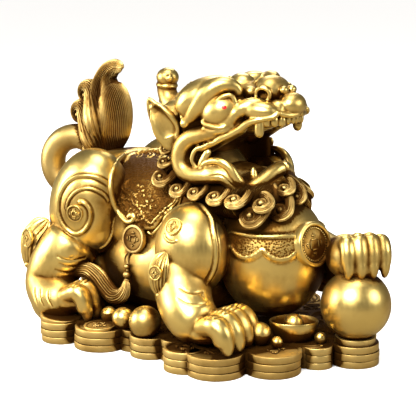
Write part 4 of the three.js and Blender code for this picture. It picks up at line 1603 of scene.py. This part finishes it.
@dataclass
class Treasure:
    """The ball under the left forepaw, the pearls and the boat-shaped ingot."""

    ball_radius: float = 32
    ball_seat: float = 2.0
    ball_place: tuple[float, float] = (164, 12)
    ingot_place: tuple[float, float] = (120, -22)
    ingot_reach: float = 22.5
    pearls: tuple[tuple[float, float, float], ...] = (
        (7, -98, 15), (-26, -93, 10.5), (-50, -87, 8), (104, -52, 11), (122, -50, 5.5), (144, -14, 5.5),
    )

    def build(self) -> list[bpy.types.Object]:
        """Lays out the ball, the pearls and the ingot, and returns them."""
        centre = at(*self.ball_place, self.ball_seat + self.ball_radius)
        ball = Wax().press(boss(centre, [self.ball_radius] * 3, sides=96, rings=64)).set_out("ball")
        wax = Wax()
        for x, y, radius in self.pearls:
            wax.press(boss(at(x, y, radius * 0.85), [radius] * 3, sides=48, rings=32))
        wax.press(*self.ingot())
        return [ball, wax.set_out("pearls_and_ingot")]

    def ingot(self) -> list[bpy.types.Mesh]:
        """Turns the ingot's bowl, and returns it with the dome in it."""
        reach = self.ingot_reach
        profile = [
            (0, 0), (0.55, 0), (0.68, 0.08), (0.82, 0.26), (0.93, 0.52), (1, 0.84),
            (0.97, 0.89), (0.93, 0.86), (0.86, 0.68), (0.72, 0.56), (0.4, 0.5), (0, 0.5),
        ]
        place = Matrix.Translation(at(*self.ingot_place, -1.0)) @ Matrix.Rotation(math.radians(40), 4, "Z")
        oval = Matrix.Diagonal((1, 0.8, 1, 1))
        bowl = turned([(r * reach, z * reach) for r, z in profile], place @ oval, 64)
        dome = boss(at(*self.ingot_place, reach * 0.68), (reach * 0.42, reach * 0.38, reach * 0.42))
        return [bowl, dome]


@dataclass
class Patina:
    """Works out where a casting stays dark: patina in its grooves, and patina together with painted shade
    in its crowded hollows.

    The skin of all pieces is gathered in a grid of cells, and a place is crowded when the grid
    is full a reach ahead of it. Grooves are sought by fine and by broad smoothing, each given
    as its rounds and the depth of a full groove in millimetres.
    """

    cell: float = 3.0
    spread: int = 4
    reach: float = 11.0
    open_share: float = 0.2
    short_edge: float = 2.6
    fine: tuple[int, float] = (4, 0.10)
    broad: tuple[int, float] = (24, 0.45)
    least: float = -0.6
    most: float = 0.95
    low: np.ndarray = field(default_factory=lambda: np.zeros(3))
    crowd: np.ndarray = field(default_factory=lambda: np.zeros((1, 1, 1)))

    def gather(self, pieces: Sequence[bpy.types.Object]) -> None:
        """Fills a coarse grid with the skin of every piece and spreads it out."""
        centres, areas = [], []
        for piece in pieces:
            faces = piece.data.polygons
            centre, area = np.empty(len(faces) * 3, np.float32), np.empty(len(faces), np.float32)
            faces.foreach_get("center", centre)
            faces.foreach_get("area", area)
            centres.append(centre.reshape(-1, 3))
            areas.append(area)
        spots, weights = np.vstack(centres).astype(float), np.concatenate(areas)
        margin = self.cell * self.spread * 4
        self.low = spots.min(0) - margin
        shape = np.ceil((spots.max(0) + margin - self.low) / self.cell).astype(int) + 1
        index = np.ravel_multi_index(((spots - self.low) / self.cell).astype(int).T, shape)
        grid = np.bincount(index, weights, np.prod(shape)).reshape(shape)
        for _ in range(2):
            for axis in range(3):
                grid = self.spread_along(grid, axis)
        self.crowd = grid

    def spread_along(self, grid: np.ndarray, axis: int) -> np.ndarray:
        """Returns the grid averaged over a few cells along one axis."""
        total = np.cumsum(grid, axis=axis)
        ahead = np.roll(total, -self.spread // 2, axis=axis)
        behind = np.roll(total, self.spread // 2 + 1, axis=axis)
        return np.maximum(ahead - behind, 0) / (self.spread + 1)

    def hollow_shade_and_patina(self, points: np.ndarray, normals: np.ndarray) -> np.ndarray:
        """Returns how crowded the space in front of each point is, about 1 on an open swell; crowded places
        are darkened as patina together with painted shade.
        """
        index = ((points + normals * self.reach - self.low) / self.cell).astype(int)
        index = np.clip(index, 0, np.array(self.crowd.shape) - 1)
        values = self.crowd[tuple(index.T)]
        return values / (self.cell**2 * self.open_share)

    def groove(
        self, mesh: bpy.types.Mesh, points: np.ndarray, normals: np.ndarray, rounds: int
    ) -> np.ndarray:
        """Measures how far each point lies below the smoothed skin, in millimetres.

        Args:
            mesh: the piece's mesh.
            points: its vertices.
            normals: their normals.
            rounds: how often the skin is smoothed.

        Returns:
            The depth, negative on ridges.
        """
        pairs = np.empty(len(mesh.edges) * 2, np.int32)
        mesh.edges.foreach_get("vertices", pairs)
        one, other = pairs.reshape(-1, 2).T
        short = np.linalg.norm(points[one] - points[other], axis=1) < self.short_edge
        one, other = one[short], other[short]
        count = len(points)
        degree = np.bincount(one, minlength=count) + np.bincount(other, minlength=count)
        alone = (degree < 3)[:, None]
        degree = np.maximum(degree, 1)
        soft = points.copy()
        for _ in range(rounds):
            sums = [
                np.bincount(one, soft[other, i], count) + np.bincount(other, soft[one, i], count)
                for i in range(3)
            ]
            mean = np.stack(sums, axis=1) / degree[:, None]
            soft = np.where(alone, points, (soft + mean) / 2)
        return ((soft - points) * normals).sum(1)

    def age(self, piece: bpy.types.Object) -> None:
        """Leaves the groove, the hollows' painted shade and patina, the matting and the painted shade of
        each vertex on a piece's mesh.
        """
        mesh = piece.data
        points, normals = read_rows(mesh), read_rows(mesh, "normal")
        fine, broad = (
            self.groove(mesh, points, normals, rounds) / depth for rounds, depth in (self.fine, self.broad)
        )
        write_shares(mesh, "groove", np.clip(0.5 * fine + 0.5 * broad, self.least, self.most))
        write_shares(mesh, "hollow_shade_and_patina", self.hollow_shade_and_patina(points, normals))
        for name in ("matting", "painted_shade"):
            if name not in mesh.attributes:
                write_shares(mesh, name, np.zeros(len(points)))


def link(tree: bpy.types.NodeTree, *pairs: tuple) -> None:
    """Joins pairs of sockets in a node tree."""
    for source, target in pairs:
        tree.links.new(source, target)


@dataclass
class Nodes:
    """Adds nodes to one tree, with their values set in the same breath."""

    tree: bpy.types.NodeTree

    def add(self, kind: str, **settings: object) -> bpy.types.Node:
        """Adds a node of a kind and sets its properties, and returns it."""
        node = self.tree.nodes.new(kind)
        for name, value in settings.items():
            setattr(node, name, value)
        return node

    def math(self, operation: str, one: object, other: object, clamp: bool = False) -> bpy.types.NodeSocket:
        """Reckons with two sockets or numbers, and returns the result's socket."""
        node = self.add("ShaderNodeMath", operation=operation, use_clamp=clamp)
        for socket, value in zip(node.inputs, (one, other)):
            if isinstance(value, (int, float)):
                socket.default_value = value
            else:
                self.tree.links.new(value, socket)
        return node.outputs[0]

    def blend(self, share: object, one: object, other: object) -> bpy.types.NodeSocket:
        """Mixes two colours by a share, and returns the mixed colour's socket."""
        node = self.add("ShaderNodeMix", data_type="RGBA")
        for socket, value in ((node.inputs[0], share), (node.inputs[6], one), (node.inputs[7], other)):
            if isinstance(value, bpy.types.NodeSocket):
                self.tree.links.new(value, socket)
            else:
                socket.default_value = value
        return node.outputs[2]

    def attribute(self, name: str) -> bpy.types.NodeSocket:
        """Reads an attribute of the mesh, and returns its socket."""
        return self.add("ShaderNodeAttribute", attribute_name=name).outputs["Fac"]

    def noise(self, scale: float, detail: float, stretch: tuple = (1, 1, 1)) -> bpy.types.NodeSocket:
        """Adds a noise over the object's own coordinates, and returns its socket."""
        place = self.add("ShaderNodeTexCoord")
        mapping = self.add("ShaderNodeMapping")
        mapping.inputs["Scale"].default_value = stretch
        noise = self.add("ShaderNodeTexNoise")
        noise.inputs["Scale"].default_value = scale
        noise.inputs["Detail"].default_value = detail
        link(
            self.tree,
            (place.outputs["Object"], mapping.inputs["Vector"]),
            (mapping.outputs["Vector"], noise.inputs["Vector"]),
        )
        return noise.outputs["Fac"]


def cast_skin() -> bpy.types.NodeTree:
    """Builds the shared group that ages cast brass and darkens it with painted shade in its hollows and in
    the mouth.

    Returns:
        A node group that gives a colour, a roughness and a height that change over the skin.
    """
    tree = bpy.data.node_groups.new("cast_skin", "ShaderNodeTree")
    sockets = {
        ("INPUT", "NodeSocketColor"): ("Polished", "Aged", "Deep"),
        ("INPUT", "NodeSocketFloat"): ("Aging", "Sheen", "Mottle"),
        ("OUTPUT", "NodeSocketColor"): ("Color",),
        ("OUTPUT", "NodeSocketFloat"): ("Roughness", "Height"),
    }
    for (way, kind), names in sockets.items():
        for name in names:
            tree.interface.new_socket(name=name, in_out=way, socket_type=kind)
    nodes = Nodes(tree)
    given = nodes.add("NodeGroupInput").outputs
    result = nodes.add("NodeGroupOutput").inputs
    groove, hollow_shade_and_patina = nodes.attribute("groove"), nodes.attribute("hollow_shade_and_patina")
    matting, painted_shade = nodes.attribute("matting"), nodes.attribute("painted_shade")
    clouds = nodes.noise(CLOUD_SCALE, 6)
    brushing = nodes.noise(BRUSH_SCALE, 2, (1, 1, 0.25))
    pits = nodes.add("ShaderNodeTexVoronoi")
    pits.inputs["Scale"].default_value = PIT_SCALE
    place = nodes.add("ShaderNodeTexCoord")
    tree.links.new(place.outputs["Object"], pits.inputs["Vector"])
    pit = nodes.math("SUBTRACT", 0.62, pits.outputs["Distance"], clamp=True)
    sunk = nodes.math("MULTIPLY", pit, matting)
    # Crowded hollows darken partly as patina and partly as painted shade, where the forms around would
    # shade them
    crowded_shade_and_patina = nodes.math("SUBTRACT", hollow_shade_and_patina, 0.5, clamp=True)
    mottled = nodes.math("MULTIPLY", nodes.math("SUBTRACT", clouds, 0.45), given["Mottle"])
    dark = nodes.math("MULTIPLY", groove, 0.55)
    # The last share darkens the inside of the mouth as painted shade
    for share in (
        crowded_shade_and_patina, mottled, nodes.math("MULTIPLY", sunk, 2.2), nodes.math("MULTIPLY", matting, 0.5), painted_shade,
    ):
        dark = nodes.math("ADD", dark, share)
    dark = nodes.math("ADD", dark, given["Aging"], clamp=True)
    deep = nodes.math("POWER", dark, 2.4, clamp=True)
    colour = nodes.blend(dark, given["Polished"], given["Aged"])
    colour = nodes.blend(deep, colour, given["Deep"])
    rough = nodes.math("ADD", given["Sheen"], nodes.math("MULTIPLY", dark, 0.22))
    brushed = nodes.math("MULTIPLY", nodes.math("SUBTRACT", brushing, 0.5), 0.14)
    rough = nodes.math("ADD", rough, brushed, clamp=True)
    raised = nodes.math("MULTIPLY", brushing, 0.12)
    height = nodes.math("SUBTRACT", raised, nodes.math("MULTIPLY", sunk, 1.6))
    link(tree, (colour, result["Color"]), (rough, result["Roughness"]), (height, result["Height"]))
    return tree


@dataclass(frozen=True)
class BrassFinish:
    """One finish of the cast brass, with its colours where it is polished, aged and deep."""

    name: str
    polished: tuple[float, float, float] = (0.83, 0.595, 0.18)
    aged: tuple[float, float, float] = (0.38, 0.19, 0.028)
    deep: tuple[float, float, float] = (0.10, 0.04, 0.006)
    aging: float = 0.16
    sheen: float = 0.33
    mottle: float = 2.4

    def mix(self, skin: bpy.types.NodeTree) -> bpy.types.Material:
        """Makes the material with the shared group, and returns it."""
        material = bpy.data.materials.new(self.name)
        material.use_nodes = True
        tree = material.node_tree
        shader = tree.nodes["Principled BSDF"]
        shader.inputs["Metallic"].default_value = 1.0
        group = tree.nodes.new("ShaderNodeGroup")
        group.node_tree = skin
        given = {
            "Polished": (*self.polished, 1), "Aged": (*self.aged, 1), "Deep": (*self.deep, 1),
            "Aging": self.aging, "Sheen": self.sheen, "Mottle": self.mottle,
        }
        for name, value in given.items():
            group.inputs[name].default_value = value
        bump = tree.nodes.new("ShaderNodeBump")
        bump.inputs["Strength"].default_value = 0.6
        bump.inputs["Distance"].default_value = 0.0006
        link(
            tree,
            (group.outputs["Color"], shader.inputs["Base Color"]),
            (group.outputs["Roughness"], shader.inputs["Roughness"]),
            (group.outputs["Height"], bump.inputs["Height"]),
            (bump.outputs["Normal"], shader.inputs["Normal"]),
        )
        return material


class Finish(Enum):
    """The finishes that the pieces are given; the darker ones inside the mouth and on the heap's middle are
    painted shade.
    """

    BODY = BrassFinish("polished_brass")
    HAIR = BrassFinish(
        "combed_brass", (0.62, 0.44, 0.15), (0.33, 0.17, 0.03), (0.07, 0.028, 0.005),
        aging=0.42, sheen=0.4,
    )
    COINS = BrassFinish(
        "handled_brass", (0.76, 0.54, 0.18), (0.4, 0.21, 0.035), (0.07, 0.028, 0.005),
        aging=0.3, sheen=0.46, mottle=1.8,
    )
    HEAD = BrassFinish("chased_brass", sheen=0.32)
    # The coins between the legs and under the body: darker brass as painted shade
    HEAP = BrassFinish(
        "shaded_heap_brass", (0.6, 0.4, 0.13), (0.3, 0.15, 0.025), (0.06, 0.024, 0.004),
        aging=0.62, sheen=0.66, mottle=1.0,
    )
    # The mouth's lining: darker brass as painted shade inside the open mouth
    MOUTH = BrassFinish(
        "shaded_mouth_brass", (0.5, 0.31, 0.08), (0.27, 0.125, 0.018), (0.08, 0.03, 0.004),
        aging=0.8, sheen=0.6,
    )


def red_enamel() -> bpy.types.Material:
    """Makes the red paint of the pupils, uneven as if laid on by hand, and returns it."""
    material = bpy.data.materials.new("red_enamel")
    material.use_nodes = True
    tree = material.node_tree
    shader = tree.nodes["Principled BSDF"]
    nodes = Nodes(tree)
    share = nodes.noise(900, 2)
    colour = nodes.blend(share, (0.75, 0.01, 0.006, 1), (0.4, 0.004, 0.003, 1))
    link(tree, (colour, shader.inputs["Base Color"]))
    shader.inputs["Roughness"].default_value = 0.3
    shader.inputs["Coat Weight"].default_value = 0.4
    return material


@dataclass(frozen=True)
class Lamp:
    """A soft light: its bearing in degrees, reach and size in metres, and power in watts."""

    name: str
    azimuth: float
    elevation: float
    reach: float
    size: float
    power: float


@dataclass
class Studio:
    """The plain pale floor, the soft lights and the camera, in metres."""

    lamps: tuple[Lamp, ...] = (
        Lamp("key", 16, 41, 1.5, 0.9, 37),
        Lamp("left", -50, 17, 1.5, 0.95, 22),
        Lamp("right", 105, 24, 1.6, 0.8, 10),
        Lamp("back", 215, 40, 1.6, 0.7, 7),
        Lamp("overhead", 40, 86, 1.5, 0.8, 11),
    )
    target: tuple[float, float, float] = (0, 0, 0.110)
    azimuth: float = 40
    elevation: float = 12
    distance: float = 1.25
    lens: float = 112
    lift: float = 14 / 416

    def direction(self, azimuth: float, elevation: float) -> Vector:
        """Returns the way to a place round the beast, from in front of its right flank."""
        a, e = math.radians(azimuth), math.radians(elevation)
        return Vector((math.sin(a) * math.cos(e), -math.cos(a) * math.cos(e), math.sin(e)))

    def build(self) -> None:
        """Sets up the floor, the lights, the surroundings and the camera."""
        self.floor()
        self.surroundings()
        for lamp in self.lamps:
            self.hang(lamp)
        self.camera()

    def floor(self) -> None:
        """Lays the pale floor, which the brass mirrors darker than the camera sees it."""
        mesh = bpy.data.meshes.new("floor")
        form = bmesh.new()
        bmesh.ops.create_grid(form, x_segments=1, y_segments=1, size=30)
        form.to_mesh(mesh)
        form.free()
        floor = bpy.data.objects.new("floor", mesh)
        bpy.context.scene.collection.objects.link(floor)
        material = bpy.data.materials.new("pale_floor")
        material.use_nodes = True
        tree = material.node_tree
        shader = tree.nodes["Principled BSDF"]
        shader.inputs["Roughness"].default_value = 0.9
        rays = tree.nodes.new("ShaderNodeLightPath")
        seen, mirrored_tone = (0.93, 0.93, 0.93, 1), (0.16, 0.14, 0.11, 1)
        tone = Nodes(tree).blend(rays.outputs["Is Glossy Ray"], seen, mirrored_tone)
        link(tree, (tone, shader.inputs["Base Color"]))
        mesh.materials.append(material)

    def surroundings(self) -> None:
        """Fills the studio with even pale light, dimmer where the brass mirrors it."""
        world = bpy.data.worlds.new("studio")
        world.use_nodes = True
        bpy.context.scene.world = world
        tree = world.node_tree
        background = tree.nodes["Background"]
        background.inputs["Color"].default_value = (1, 0.985, 0.96, 1)
        rays = tree.nodes.new("ShaderNodeLightPath")
        strength = tree.nodes.new("ShaderNodeMix")
        strength.inputs["A"].default_value = 1.15
        strength.inputs["B"].default_value = 0.1
        link(
            tree,
            (rays.outputs["Is Glossy Ray"], strength.inputs["Factor"]),
            (strength.outputs["Result"], background.inputs["Strength"]),
        )
        bpy.context.scene.view_settings.view_transform = "Standard"

    def aim(self, piece: bpy.types.Object, azimuth: float, elevation: float, reach: float) -> None:
        """Sets a lamp or camera at a bearing and a distance, so that it looks at the beast."""
        way = self.direction(azimuth, elevation)
        piece.location = Vector(self.target) + way * reach
        piece.rotation_euler = way.to_track_quat("Z", "Y").to_euler()
        bpy.context.scene.collection.objects.link(piece)

    def hang(self, lamp: Lamp) -> None:
        """Hangs one soft light that looks at the beast."""
        data = bpy.data.lights.new(lamp.name, "AREA")
        data.shape = "DISK"
        data.size = lamp.size
        data.energy = lamp.power
        self.aim(bpy.data.objects.new(lamp.name, data), lamp.azimuth, lamp.elevation, lamp.reach)

    def camera(self) -> None:
        """Stands the camera where the photographer stood."""
        data = bpy.data.cameras.new("camera")
        data.lens = self.lens
        data.sensor_width = 36
        data.shift_y = self.lift
        camera = bpy.data.objects.new("camera", data)
        self.aim(camera, self.azimuth, self.elevation, self.distance)
        bpy.context.scene.camera = camera


def workshop() -> Iterable[tuple[Finish, Callable[[], list[bpy.types.Object]]]]:
    """Yields the finish and the maker of each sub-assembly in turn."""
    yield Finish.BODY, Torso().build
    for side in Side:
        yield Finish.BODY, HindLeg(side).build
        yield Finish.BODY, Foreleg(side).build
        yield Finish.HAIR, Tassel(side).build
    yield Finish.HEAD, Head().build
    yield Finish.MOUTH, Head().lining
    yield Finish.HAIR, Mane().build
    yield Finish.HAIR, Tail().build
    yield Finish.BODY, Medallion().build
    yield Finish.COINS, CoinHeap().build
    yield Finish.HEAP, CoinHeap().filling
    yield Finish.BODY, Treasure().build


def main() -> None:
    """Builds, ages and dresses every piece, and sets up the studio."""
    logging.basicConfig(level=logging.INFO, format="%(message)s")
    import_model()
    skin = cast_skin()
    materials = {finish: finish.value.mix(skin) for finish in Finish}
    enamel = red_enamel()
    pieces = [(piece, finish) for finish, make in workshop() for piece in make()]
    patina = Patina()
    patina.gather([piece for piece, _ in pieces])
    for piece, finish in pieces:
        patina.age(piece)
        slim(piece)
        log.info("%s: %d triangles", piece.name, triangles(piece.data))
        piece.data.transform(Matrix.Scale(METRES, 4))
        piece.data.materials.clear()
        piece.data.materials.append(enamel if piece.name == "pupils" else materials[finish])
        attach(piece, "root")
        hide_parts(NODE)
    Studio().build()


if __name__ == "__main__":
    main()
